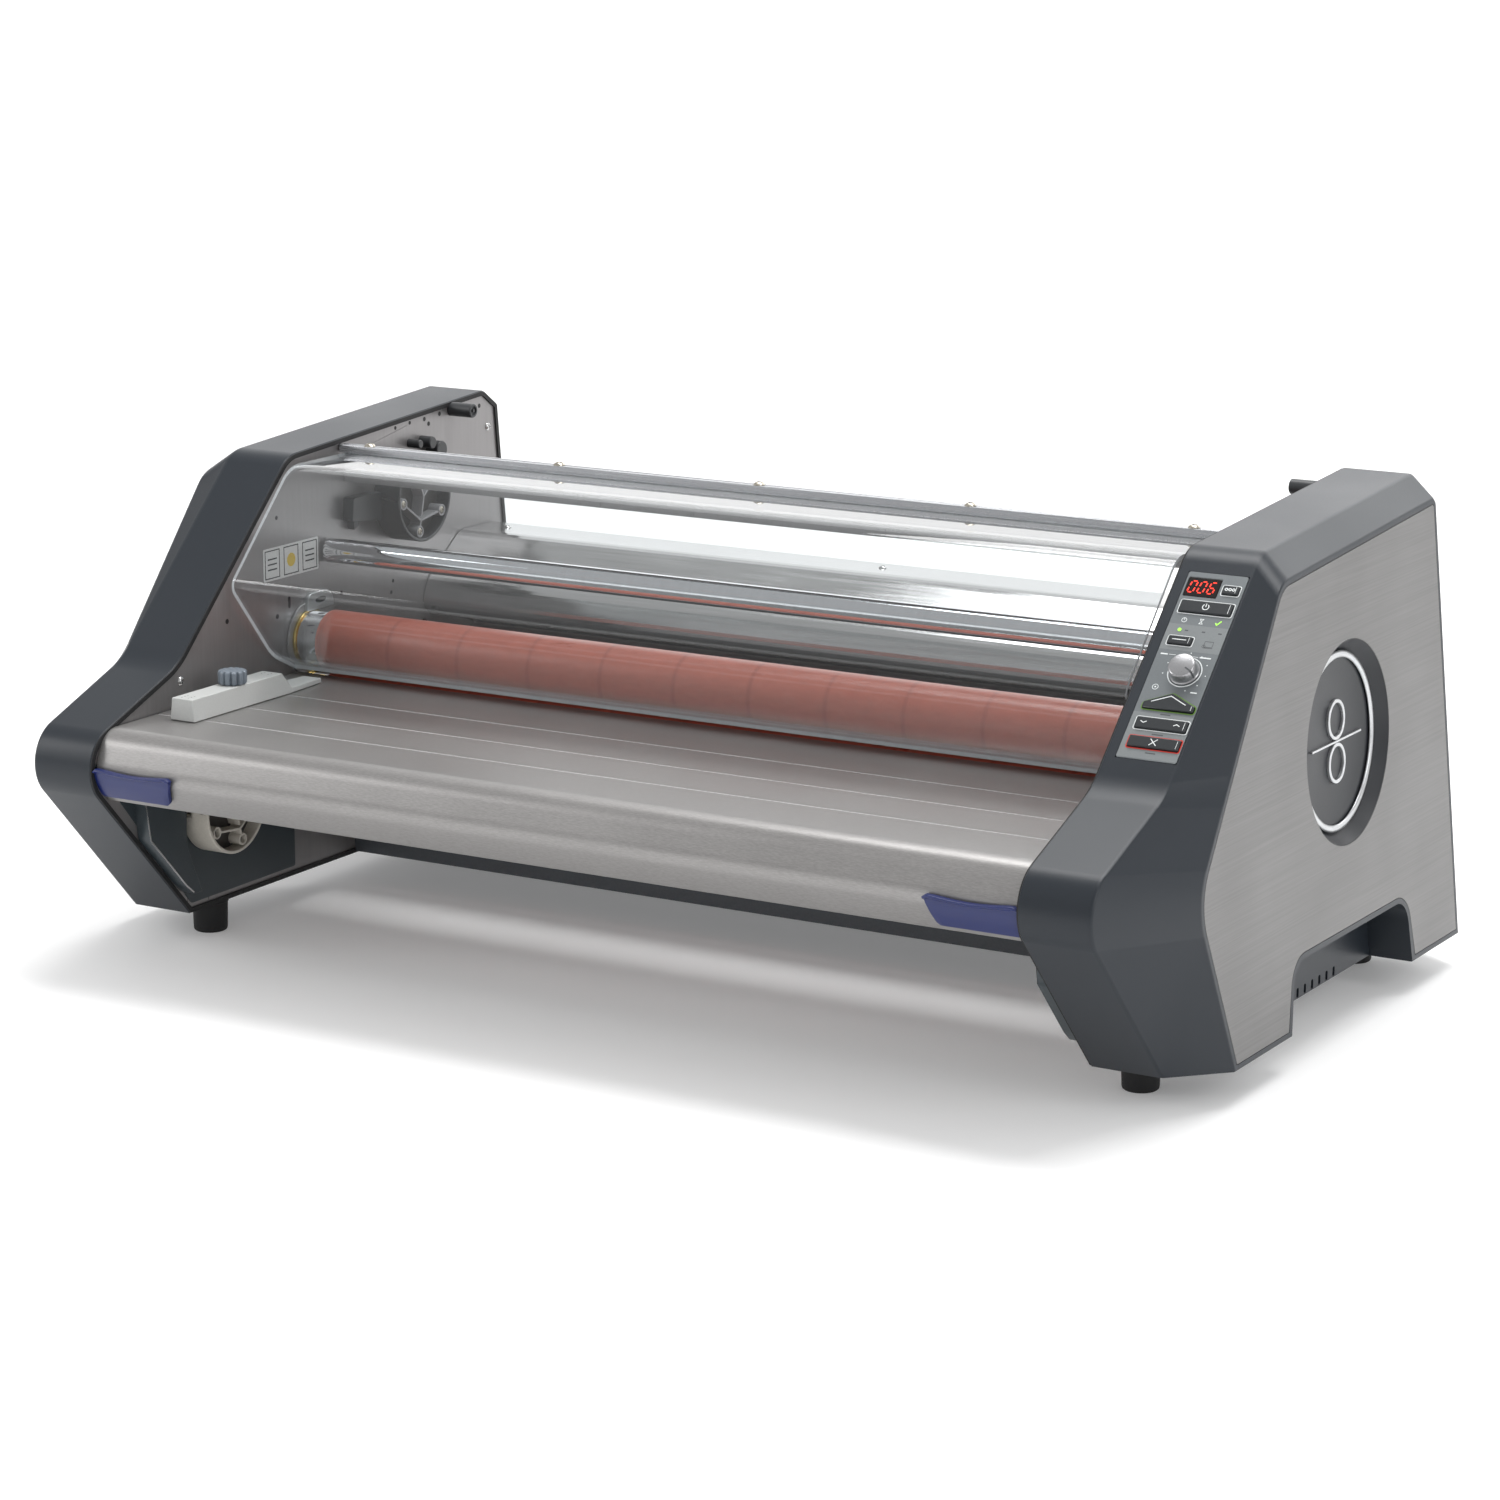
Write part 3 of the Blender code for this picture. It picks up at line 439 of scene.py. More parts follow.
def carved(bm, *tools):
    """A mesh with other closed meshes cut out of it."""
    scratch = [added("scratch", mesh_of("scratch", turned_out(part))) for part in (bm, *tools)]
    for tool in scratch[1:]:
        step = scratch[0].modifiers.new("cut", "BOOLEAN")
        step.operation = "DIFFERENCE"
        step.object = tool
    bpy.context.view_layer.update()
    graph = bpy.context.evaluated_depsgraph_get()
    result = bmesh.new()
    result.from_mesh(scratch[0].evaluated_get(graph).to_mesh())
    for made in scratch:
        mesh = made.data
        bpy.data.objects.remove(made, do_unlink=True)
        bpy.data.meshes.remove(mesh)
    return result


def frame_at(origin, along, across):
    """A matrix whose X is along, Y is across and Z is their normal."""
    x, y = Vector(along).normalized(), Vector(across).normalized()
    turn = Matrix((x, y, x.cross(y))).transposed().to_4x4()
    return Matrix.Translation(origin) @ turn


def across_at(y, z):
    """Puts a turned piece's Z on +X."""
    return frame_at((0, y, z), (0, 1, 0), (0, 0, 1))


ACROSS = across_at(0, 0)


def facing_in(side, y, z, lift=0.0):
    """On a side plate's inner face, with Z towards the middle of the machine."""
    return frame_at((side * (PLATE_IN - lift), y, z), (0, -side, 0), (0, 0, 1))


MIRROR = Matrix.Diagonal((-1, 1, 1, 1))
SIDES = (("right", 1, Matrix.Identity(4)), ("left", -1, MIRROR))


def finished(finish, *names):
    """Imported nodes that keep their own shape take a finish."""
    for name in names:
        nodes[name].data.materials[0] = finish


def outer_x(z, lift=0.0):
    """Where a right cover's outer face stands at a height."""
    return OUTER - LEAN * (z - BOTTOM) + lift


LEANING = sqrt(1 + LEAN ** 2)  # metres along the leaning face for each metre of height
FACE_FRAME = frame_at((OUTER, 0, BOTTOM), (0, 1, 0), (-LEAN, 0, 1))
BADGE_FRAME = FACE_FRAME @ Matrix.Translation((BADGE[0], (BADGE[1] - BOTTOM) * LEANING, 0))
WAIST, BROW = Vector(BAND[2][:2]), Vector(BAND[3][:2])
SLOPE = (BROW - WAIST).normalized()
PANEL = frame_at((0, *WAIST), (1, 0, 0), (0, *SLOPE))
BACK = frame_at((0, 0.262, 0), (-1, 0, 0), (0, 0, 1))  # rear panel's outer face, seen from behind


def on_face(points):
    """Places (y, z) on the machine, measured along the leaning face."""
    return [(p[0], (p[1] - BOTTOM) * LEANING) for p in points]


def between(first, corner, last, steps=3):
    """Rings that round the fold between three rings."""
    shares = [((1 - t) ** 2, 2 * t * (1 - t), t ** 2) for t in (k / steps for k in range(steps + 1))]
    return [[a * i + b * j + c * k for a, b, c in zip(first, corner, last)] for i, j, k in shares]


def towards(start, goal, distance):
    """A ring moved point by point towards another."""
    return [a + (b - a).normalized() * distance for a, b in zip(start, goal)]


# Covers
def drop(corners):
    """The hand-hold outline carried below the cover so that it is open underneath."""
    points = rounded(corners)
    low = BOTTOM - 0.01
    return [(points[0][0], low)] + points + [(points[-1][0], low)]


def skin_outline(seat, margin):
    """The metal skin: its seat with the hand-hold notched out of the lower edge."""
    edge = rounded(inset(seat, margin))
    low = edge[0][1]
    notch = [(y, max(z, low)) for y, z in rounded(inset(HANDHOLD, -SKIN_RIM - margin))]
    return edge + notch[::-1]


def cover_shell():
    """Outside of a right cover with eased folds, hollowed, with its hand-hold and skin seat."""
    def band(x, corners=BAND):
        return [Vector((x, p[0], p[1])) for p in rounded(corners)]

    def face(corners, lift=0.0):
        return [Vector((outer_x(p[1], lift), p[0], p[1])) for p in rounded(corners)]

    ease, lip = 0.0022, 0.0012
    fold, rim = band(CREASE), face(FACE)
    rings = [band(INNER, inset(BAND, 0.0006)), band(INNER + 0.0006)]
    rings += between(band(CREASE - ease), fold, towards(fold, rim, ease))
    rings += between(towards(rim, fold, lip), rim, face(inset(FACE, lip)))
    shell = loft(rings)
    inner_band, inner_face = inset(BAND, WALL), inset(FACE, WALL)
    hollow = loft([
        band(INNER - 0.01, inner_band), band(CREASE - 0.0025, inner_band), face(inner_face, -WALL)])
    liner = moved(prism(drop(inset(HANDHOLD, -WALL)), HANDHOLD_X - WALL, 0.5), ACROSS)
    hand_hold = moved(prism(drop(HANDHOLD), HANDHOLD_X, 0.5), ACROSS)
    outline = on_face(skin_outline(inset(FACE, SKIN_RIM), -0.0003))
    seat = moved(prism(outline, -0.001, 0.005), FACE_FRAME)
    recess = moved(disc(0.0717, -0.02, 0.02, 96), BADGE_FRAME)
    vents = []
    for k in range(8):
        y = 0.0175 + 0.0126 * k
        slot = rounded([(y - 0.0019, BOTTOM + 0.0008, 0.0008, 2), (y - 0.0019, 0.0325, 0.0017, 4),
                        (y + 0.0019, 0.0325, 0.0017, 4), (y + 0.0019, BOTTOM + 0.0008, 0.0008, 2)])
        vents.append(moved(prism(slot, HANDHOLD_X - 0.006, HANDHOLD_X + 0.004), ACROSS))
    return carved(shell, carved(hollow, liner), hand_hold, seat, recess, *vents)


def covers():
    key_window = moved(block((0.3815, 0.032, -0.02), (0.4222, 0.1725, 0.01)), PANEL)
    panel_seat = moved(block((0.3798, 0.0258, -0.0019), (0.4236, 0.1766, 0.01)), PANEL)
    right = cover_shell()
    left = moved(right.copy(), MIRROR)
    right = carved(right, panel_seat, key_window)
    for side, bm in (("left", left), ("right", right)):
        made = piece(f"{side}_cover_shell", bm, CHARCOAL,
                     stands_for=[f"{side}_cover"], sharp=28)
        made.modifiers.new("even_light", "WEIGHTED_NORMAL").keep_sharp = True
    for side, _, turn in SIDES:
        outline = on_face(skin_outline(inset(FACE, SKIN_RIM), 0.0002))
        skin = moved(prism(outline, -0.0007, 0.0), FACE_FRAME)
        skin = carved(skin, moved(disc(0.0714, -0.02, 0.02, 96), BADGE_FRAME))
        piece(f"{side}_metal_skin", moved(skin, turn), SKIN, stands_for=[f"{side}_skin"])
        badge(side, turn)


def badge(side, turn):
    """Round recess with a bright ring and a plain roller mark in place of any name."""
    cup = lathe(((0, -0.0105), (0.0625, -0.0105), (0.064, -0.0099), (0.065, -0.0085), (0.0704, -0.001),
                 (0.0708, -0.0003), (0.0713, -0.0003), (0.0713, -0.003), (0.064, -0.0125), (0, -0.0125)), 96)
    # The recess takes the darker charcoal of the painted shade.
    piece(f"{side}_badge_recess", moved(cup, turn @ BADGE_FRAME), CUP_PAINTED_SHADE,
          stands_for=[f"{side}_badge_cup"])
    section = [(0.0603 + 0.0025 * x, -0.0086 + 0.0015 * y) for x, y in circle(1.0, 12)]
    ring = lathe(section, 96, closed=True)
    piece(f"{side}_badge_circle", moved(ring, turn @ BADGE_FRAME), RAIL_METAL,
          stands_for=[f"{side}_badge_ring"])
    profile = ((0.0116, -0.0104), (0.0142, -0.0104), (0.0142, -0.0088), (0.0139, -0.0084), (0.0119, -0.0084),
               (0.0116, -0.0088))
    marks = [moved(lathe(profile, 48, closed=True), Matrix.Translation((0, up, 0)))
             for up in (0.0152, -0.0152)]
    marks.append(block((-0.042, -0.0007, -0.0104), (0.042, 0.0007, -0.0086)))
    piece(f"{side}_badge_mark", moved(joined(marks), turn @ BADGE_FRAME), RAIL_METAL)


# Feed table
def sheet_outline(route, thickness):
    """A closed section from an open route, thickened to the right of its direction."""
    inner = []
    for i, point in enumerate(route):
        before = (point - route[i - 1]).normalized() if i else (route[1] - point).normalized()
        after = (route[i + 1] - point).normalized() if i + 1 < len(route) else before
        normal = Vector((before.y + after.y, -before.x - after.x)).normalized()
        share = max(normal.dot(Vector((before.y, -before.x))), 0.5)
        inner.append(point + normal * thickness / share)
    return list(route) + inner[::-1]


def sheet(corners, thickness, half, side=1):
    """Bent sheet across the machine: corners of an open (y, z) route with their rounding."""
    route = rounded([(*c, 0, 1) if len(c) == 2 else c for c in corners])
    section = sheet_outline(route, thickness * side)
    return moved(prism(section, -half, half), ACROSS)


GROOVES = (-0.203, -0.153, -0.103)  # where grooves cross the table


def feed_table():
    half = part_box("feed_table")[1].x
    top = sheet(((-0.031, TABLE_TOP), (-0.2635, TABLE_TOP, 0.0125, 16), (-0.2758, 0.155, 0.008, 10),
                 (-0.2615, 0.1305, 0.0012, 3), (-0.2455, 0.1345)), 0.003, half, -1)
    cuts = []
    for y in GROOVES:
        outline = ((y - 0.001, TABLE_TOP + 0.001), (y - 0.0009, TABLE_TOP - 0.0012),
                   (y + 0.0009, TABLE_TOP - 0.0012), (y + 0.001, TABLE_TOP + 0.001))
        cuts.append(moved(prism(outline, -0.5, 0.5), ACROSS))
    piece("table_top", carved(top, *cuts), ALUMINIUM, "feed_table", ["feed_table"],
          sharp=25)
    reach, wide = half - 0.0008, 0.00085
    strips = [block((-reach, y - wide, TABLE_TOP - 0.00118), (reach, y + wide, TABLE_TOP - 0.0002))
              for y in GROOVES]
    piece("groove_strips", joined(strips), BRIGHT_STRIP, "feed_table")


def latches():
    """Finger tabs under the nose of the table, dished along their length with a lip on top."""
    outline = rounded((
        (-0.2805, 0.156, 0.0004, 2), (-0.2805, 0.1578, 0.0006, 3), (-0.2752, 0.1578, 0.0006, 3),
        (-0.2752, 0.1535, 0.001, 3), (-0.2728, 0.1474, 0.002, 3), (-0.2662, 0.1367, 0.0008, 3),
        (-0.269, 0.135, 0.0008, 3), (-0.2745, 0.144, 0.003, 4), (-0.2772, 0.151, 0.0015, 4),
        (-0.278, 0.155, 0.0008, 4)))
    low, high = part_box("right_latch")
    middle = Vector((-0.274, 0.147))
    steps = 24
    rings = []
    for k in range(steps + 1):
        t = k / steps
        dish = 0.0022 * sin(pi * t) ** 1.5
        end = min(t, 1 - t) * (high.x - low.x)
        shrink = 1 - max(0.0, 0.0016 - end) / 0.009
        ring = []
        for q in outline:
            dished = Vector((q.x, q.y - dish * max(0.0, (q.y - 0.15) / 0.0078)))
            y, z = middle + (dished - middle) * shrink
            start = low.x + 0.0065 * (0.1578 - q.y) / 0.0228
            ring.append(Vector((start + t * (high.x - start), y, z)))
        rings.append(ring)
    for side, _, turn in SIDES:
        piece(f"{side}_finger_latch", moved(loft(rings), turn), BLUE, f"{side}_latch",
              [f"{side}_latch"], sharp=50)


def guide():
    """Side guide with a sloped front and a thin rear tongue, and its fluted clamp knob."""
    low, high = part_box("side_guide")
    middle = (low.x + high.x) / 2
    half, top = (high.x - low.x) / 2, high.z - low.z
    rings = []
    for y, wide, height in ((low.y, half, top), (low.y + 0.108, half, top), (low.y + 0.118, half, 0.0042),
                            (high.y, half * 0.76, 0.0036)):
        rings.append([(middle + u, y, low.z + v) for u, v in (
            (-wide, 0), (wide, 0), (wide - height * 0.11, height), (-wide + height * 0.11, height))])
    piece("guide_bar", loft(rings), PALE, "side_guide", ["side_guide"], bevel=0.0007,
          segments=3)
    marks = [prism(circle(0.00045, 12, (middle + u, low.y + v)), high.z, high.z + 0.00006)
             for v in (0.004, 0.0075, 0.011, 0.099, 0.103) for u in (-0.003, 0.003)]
    piece("guide_marks", joined(marks), BLACK_SHADE_AND_PRINT, "side_guide")
    low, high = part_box("guide_knob")
    place = Matrix.Translation(((low.x + high.x) / 2, (low.y + high.y) / 2, low.z))
    height = high.z - low.z
    rings = []
    for radius, z in ((0.0096, 0.0), (0.0104, 0.0006), (0.0107, 0.002), (0.0107, height - 0.0014),
                      (0.0102, height - 0.0004), (0.0094, height)):
        deep = 0.0021 if 0.0 < z < height else 0.0014
        turns = [2 * pi * k / 144 for k in range(144)]
        reach = [radius - deep * max(0.0, cos(12 * t)) ** 1.6 for t in turns]
        rings.append([(r * cos(t), r * sin(t), z) for r, t in zip(reach, turns)])
    piece("clamp_knob", moved(loft(rings), place), KNOB_GREY, "guide_knob", ["guide_knob"],
          sharp=40)


# Rollers
def heat_rollers():
    for name in ("upper_heat_roller", "lower_heat_roller"):
        place = across_at(*axis_of(name))
        low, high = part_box(f"{name}_sleeve")
        half, radius = high.x, (high.z - low.z) / 2
        sleeve = lathe(((radius - 0.0022, half), (radius - 0.0006, half), (radius, half - 0.0006),
                        (radius, -half + 0.0006), (radius - 0.0006, -half), (radius - 0.0022, -half)),
                       96, closed=True)
        piece(f"{name}_rubber", moved(sleeve, place), SILICONE, name,
              [f"{name}_sleeve"])
        core = radius - 0.0026
        end = 0.369
        body = lathe(((0.0125, end + 0.012), (0.018, end + 0.012), (0.018, end), (core - 0.0008, end),
                      (core, end - 0.0008), (core, -end + 0.0008), (core - 0.0008, -end),
                      (0.018, -end), (0.018, -end - 0.012), (0.0125, -end - 0.012)), 96, closed=True)
        piece(f"{name}_core", moved(body, place), CHROME, name)
        finished(CHROME, name)
    ring = ((0.0183, 0.3775), (0.0203, 0.3775), (0.0203, 0.3724), (0.0224, 0.3724), (0.0227, 0.3721),
            (0.0227, 0.37), (0.0224, 0.3697), (0.0216, 0.3697), (0.0213, 0.3709), (0.0207, 0.3709),
            (0.0204, 0.3694), (0.02, 0.3692), (0.0188, 0.3692), (0.0183, 0.3696))
    for side, _, turn in SIDES:
        for height in ("upper", "lower"):
            place = turn @ across_at(*axis_of(f"{height}_heat_roller"))
            piece(f"{side}_{height}_bearing_ring", moved(lathe(ring, 72, closed=True), place), BRASS,
                  stands_for=[f"{side}_{height}_bushing"])


def bars():
    for name in ("upper_idler_bar", "lower_idler_bar"):
        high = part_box(name)[1]
        axis = axis_of(name)
        radius, half, tip = high.z - axis[1], 0.3705, 0.375
        profile = ((0, tip), (0.003, tip), (0.003, half), (radius - 0.001, half), (radius, half - 0.001),
                   (radius, -half + 0.001), (radius - 0.001, -half), (0.003, -half),
                   (0.003, -tip), (0, -tip))
        piece(f"{name}_tube", moved(lathe(profile, 64), across_at(*axis)), CHROME, name, [name])


def pull_rollers():
    radius = 0.0197
    profile = ((0, 0.3795), (0.007, 0.3795), (0.007, 0.3662), (radius - 0.0008, 0.3662), (radius, 0.3654),
               (radius, -0.3654), (radius - 0.0008, -0.3662), (0.007, -0.3662), (0.007, -0.3785),
               (0, -0.3785))
    for name, finish, slot in (("upper_pull_roller", POLISHED, "chrome"),
                               ("lower_pull_roller", GREY_RUBBER, "grey_rubber")):
        place = across_at(*axis_of(name))
        piece(f"{name}_rubber", moved(lathe(profile, 72), place), finish, name)


def hubs():
    """Core hubs: an open drum, five bosses inside its rim and the ribs that join them, with painted shade: a
    dark disc on the floor of the recess and dark plugs in the bores.
    """
    floor, foot, rim = 0.0132, 0.0134, 0.025
    for height, finish, edge, slot, start in (("upper", HUB_DARK, HUB_EDGE, "grey_plastic", -103),
                                              ("lower", CREAM, CREAM, "cream_plastic", -74)):
        for side, sign, _ in SIDES:
            name = f"{side}_{height}_hub"
            low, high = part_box(name)
            radius = (high.z - low.z) / 2
            inside = radius - 0.0026
            drum = lathe(((0, floor), (inside, floor), (inside, rim - 0.0006), (inside + 0.0005, rim),
                          (radius - 0.0006, rim), (radius, rim - 0.0006), (radius, 0.0014),
                          (radius - 0.0004, 0.001), (0, 0.001)), 72)
            pocket = block((-radius - 0.004, -0.003, 0.004), (-radius + 0.004, 0.003, 0.01))
            bosses = [Vector((cos(t), sin(t))) * (radius - 0.0078)
                      for t in (radians(start + 72 * k) for k in range(5))]
            inner, middle = bosses[0] * 0.68, Vector((0, 0))
            joins = ((inner, bosses[0]), (inner, bosses[1]), (inner, bosses[4]), (middle, bosses[2]),
                     (middle, bosses[3]), (middle, inner))
            ribs = [ribbon([a, b - (b - a).normalized() * 0.0034], 0.0016, low=foot, high=0.0238)
                    for a, b in joins]
            bore_shades, screws = [], []
            outer, bore, top = 0.0046, 0.0032, 0.0241
            for boss in bosses:
                at = Matrix.Translation((*boss, 0))
                tube = ((outer, foot), (outer, top), (bore, top), (bore, foot))
                ribs.append(moved(lathe(tube, 24, closed=True), at))
                bore_shades.append(moved(disc(bore, foot, 0.02, 20), at))
                screws.append(moved(screw_head(0.0034), at @ Matrix.Translation((0, 0, 0.0225))))
            # Painted shade: a dark disc on the floor of the recess, and the dark plugs in the bores.
            web = disc(inside - 0.0001, 0.0133, 0.0137, 60)
            place = facing_in(sign, *axis_of(name))
            wheel = moved(carved(drum, pocket), place)
            piece(f"{name}_wheel", wheel, finish, name, [name], bevel=0.0003)
            piece(f"{name}_ribs", moved(joined(ribs), place), edge, name, bevel=0.0002)
            piece(f"{name}_web", moved(joined([web, *bore_shades]), place), WEB_PAINTED_SHADE, name)
            if height == "upper":
                piece(f"{name}_screws", moved(joined(screws), place), SCREW_METAL, name)


def screws_at(radius, places):
    """A screw head standing at each of several places."""
    return joined([moved(screw_head(radius), place) for place in places])


def screw_head(radius):
    """Domed head with a cross recess, standing on Z = 0."""
    dome = lathe(((0, radius * 0.55), (radius * 0.45, radius * 0.52), (radius * 0.8, radius * 0.36),
                  (radius, radius * 0.08), (radius, 0), (0, 0)), 20)
    arm, slim = radius * 0.55, radius * 0.13
    cross = [block((-arm, -slim, radius * 0.25), (arm, slim, radius)),
             block((-slim, -arm, radius * 0.25), (slim, arm, radius))]
    return carved(dome, *cross)


# Shield
def shield():
    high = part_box("shield")[1]
    body = sheet(((0.035, high.z), (-0.0435, high.z, 0.012, 12), (-0.121, 0.264, 0.009, 8),
                  (-0.071, 0.202, 0.01, 8), (-0.043, 0.1885)), 0.0028, high.x, -1)
    made = piece("shield_sheet", body, CLEAR, "shield", ["shield"], sharp=25)
    # The cut edges take the light grey of the painted glint.
    made.data.materials.append(CLEAR_EDGE_PAINTED_GLINT)
    count = len(made.data.polygons) - 2
    for cut_edge in (0, count // 2, count, count + 1):
        made.data.polygons[cut_edge].material_index = 1
    low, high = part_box("shield_rail")
    base, top = low.z, high.z
    middle = (low.y + high.y) / 2
    rail = rounded([(low.y, base, 0, 1), (low.y, top, 0.0006, 2), (middle - 0.0016, top, 0.0002, 1),
                    (middle - 0.0014, top - 0.0004, 0.0002, 1), (middle + 0.0014, top - 0.0004, 0.0002, 1),
                    (middle + 0.0016, top, 0.0002, 1), (high.y, top, 0.0006, 2), (high.y, base, 0, 1)])
    bar = moved(prism(rail, low.x + 0.0045, high.x - 0.0045), ACROSS)
    pin = moved(disc(0.0024, low.x, high.x, 24), across_at(*axis_of("shield")))
    piece("shield_rail_bar", joined([bar, pin]), RAIL_SATIN, "shield", ["shield_rail"],
          bevel=0.0002)
    places = [Matrix.Translation((-0.345 + 0.1725 * k, middle, top)) for k in range(5)]
    piece("rail_screws", screws_at(0.0043, places), SCREW_METAL, "shield")


# Side plates and what is fixed to them
def both(bm):
    """The same shape on the left plate and mirrored on the right one."""
    return joined([bm.copy(), moved(bm, MIRROR)])


LEFT_PLATE = facing_in(-1, 0, 0)


def on_left(outline, low, high):
    """A flat (y, z) outline on the left plate's inner face, raised from low to high."""
    return moved(prism(rounded(outline), low, high), LEFT_PLATE)


def plate_details():
    finished(STEEL, "left_side_plate", "right_side_plate")
    peg = lathe(((0, 0.022), (0.0014, 0.022), (0.0014, 0.0205), (0.0036, 0.0205), (0.0036, 0.022),
                 (0.005, 0.022), (0.0056, 0.0214), (0.0056, 0.0), (0, 0.0)), 32)
    peg = moved(peg, facing_in(-1, 0.18, 0.3577))
    piece("plate_pegs", both(peg), HUB_DARK, bevel=0.0003)
    places = [facing_in(-1, y, z) for y, z in (
        (0.2316, 0.3366), (-0.1731, 0.2017), (0.225, 0.09), (0.04, 0.325))]
    piece("plate_screws", both(screws_at(0.0034, places)), ZINC)
    spots = (
        (0.2197, 0.355, 0.0018), (0.1639, 0.3558, 0.0018), (0.143, 0.3543, 0.0018), (0.1487, 0.3499, 0.0018),
        (0.123, 0.354, 0.0015), (0.1035, 0.3525, 0.0015), (0.04, 0.3435, 0.0016), (-0.1159, 0.2365, 0.0019),
        (-0.0542, 0.2296, 0.0019), (-0.0524, 0.305, 0.0016), (0.0125, 0.2377, 0.0016),
        (0.0279, 0.2343, 0.0016), (0.0939, 0.2236, 0.0015), (0.0965, 0.2323, 0.0015),
        (-0.1149, 0.0552, 0.0016), (-0.159, 0.047, 0.0045))
    # Dark discs and a dark slot of painted shade stand for the holes in each plate.
    holes = [moved(disc(radius, 0.0, PRINT_DEPTH, 20), facing_in(-1, y, z)) for y, z, radius in spots]
    slot = prism(rectangle((-0.0402, 0.2335), (-0.0374, 0.2425), 0.0012), 0.0, PRINT_DEPTH)
    holes.append(moved(slot, LEFT_PLATE))
    piece("plate_hole_shades", both(joined(holes)), BLACK_SHADE_AND_PRINT)
    hinge_plate = on_left(((0.056, 0.336, 0.002, 2), (0.056, 0.342, 0.002, 2), (0.1231, 0.353, 0.004, 3),
                           (0.1392, 0.337, 0.002, 2), (0.15, 0.324, 0.002, 2)), 0.0, 0.0006)
    piece("plate_doublers", both(hinge_plate), STEEL, bevel=0.0002)
    bearing = on_left(((-0.0215, 0.228, 0.001, 2), (-0.0195, 0.2415, 0.0055, 5), (0.011, 0.2415, 0.009, 5),
                       (0.013, 0.228, 0.001, 2)), 0.0, 0.004)
    piece("bearing_blocks", both(bearing), RAIL_METAL, bevel=0.0005)
    flange = lathe(((0.0228, 0.0), (0.0228, 0.0014), (0.0282, 0.0014), (0.0286, 0.001), (0.0286, 0.0)), 72,
                   closed=True)
    flange = moved(flange, facing_in(-1, *axis_of("upper_heat_roller")))
    piece("bearing_flanges", both(flange), STEEL)
    # A dark oval of painted shade stands for the dimple in each bearing block.
    dimple = [(-0.0042 + u * 1.25, 0.235 + v * 0.42) for u, v in circle(0.0055, 32)]
    oval = moved(prism(dimple, 0.004, 0.0041), LEFT_PLATE)
    piece("bearing_dimple_shades", both(oval), BLACK_SHADE_AND_PRINT)
    studs = []
    for y, z, r in ((0.1378, 0.3372, 0.0048), (0.1211, 0.3382, 0.0034), (0.1502, 0.3298, 0.007)):
        stud = lathe(((0, 0.012), (r - 0.0006, 0.012), (r, 0.0114), (r, 0.0), (0, 0.0)), 28)
        studs.append(moved(stud, facing_in(-1, y, z)))
    arm = [on_left(((0.031, 0.29, 0.002, 3), (0.033, 0.308, 0.002, 3), (0.07, 0.308, 0.002, 3),
                    (0.07, 0.286, 0.002, 3)), 0.0, 0.01),
           on_left(((0.038, 0.282, 0.001, 2), (0.038, 0.2905, 0.001, 2), (0.045, 0.2905, 0.001, 2),
                    (0.045, 0.285, 0.001, 2)), 0.0, 0.006)]
    piece("hub_brackets", both(joined([*studs, *arm])), HUB_DARK, bevel=0.0004)
    plate_label()
    lower_wall()


def plate_label():
    """A plain label near the front edge: three cells, lines in the outer two, a disc in the middle one."""
    thick = 0.0002
    label = prism(rectangle((-0.07, 0.258), (-0.001, 0.283), 0.001, steps=2), 0.0, thick)
    piece("plate_label", moved(label, LEFT_PLATE), LABEL)
    lines = [ribbon(rectangle((y - 0.0088, 0.26), (y + 0.0088, 0.281), 0), 0.0008, True)
             for y in (-0.059, -0.0355, -0.012)]
    lines += [ribbon([(y - 0.0056, z), (y + 0.0056, z)], 0.0011)
              for y in (-0.059, -0.012) for z in (0.2665, 0.2705, 0.2745)]
    on_label = facing_in(-1, 0, 0, thick)
    piece("label_lines", moved(joined(lines), on_label), BLACK_SHADE_AND_PRINT)
    spot = prism(circle(0.0052, 32, (-0.0355, 0.2705)), 0.0, PRINT_DEPTH)
    piece("label_disc", moved(spot, on_label), LABEL_YELLOW)


def gasket():
    """Black strip between each cover's inner edge and its side plate."""
    rings = []
    for x, depth in ((INNER + 0.0002, 0.0006), (INNER - 0.001, 0.0006), (INNER - 0.001, 0.004),
                     (INNER + 0.0002, 0.004), (INNER + 0.0002, 0.0006)):
        rings.append([Vector((x, p[0], p[1])) for p in rounded(inset(BAND, depth))])
    strip = loft(rings, closed_ends=False)
    bmesh.ops.remove_doubles(strip, verts=strip.verts[:], dist=0.00001)
    for side, _, turn in SIDES:
        piece(f"{side}_edge_strip", moved(strip.copy(), turn), RUBBER)


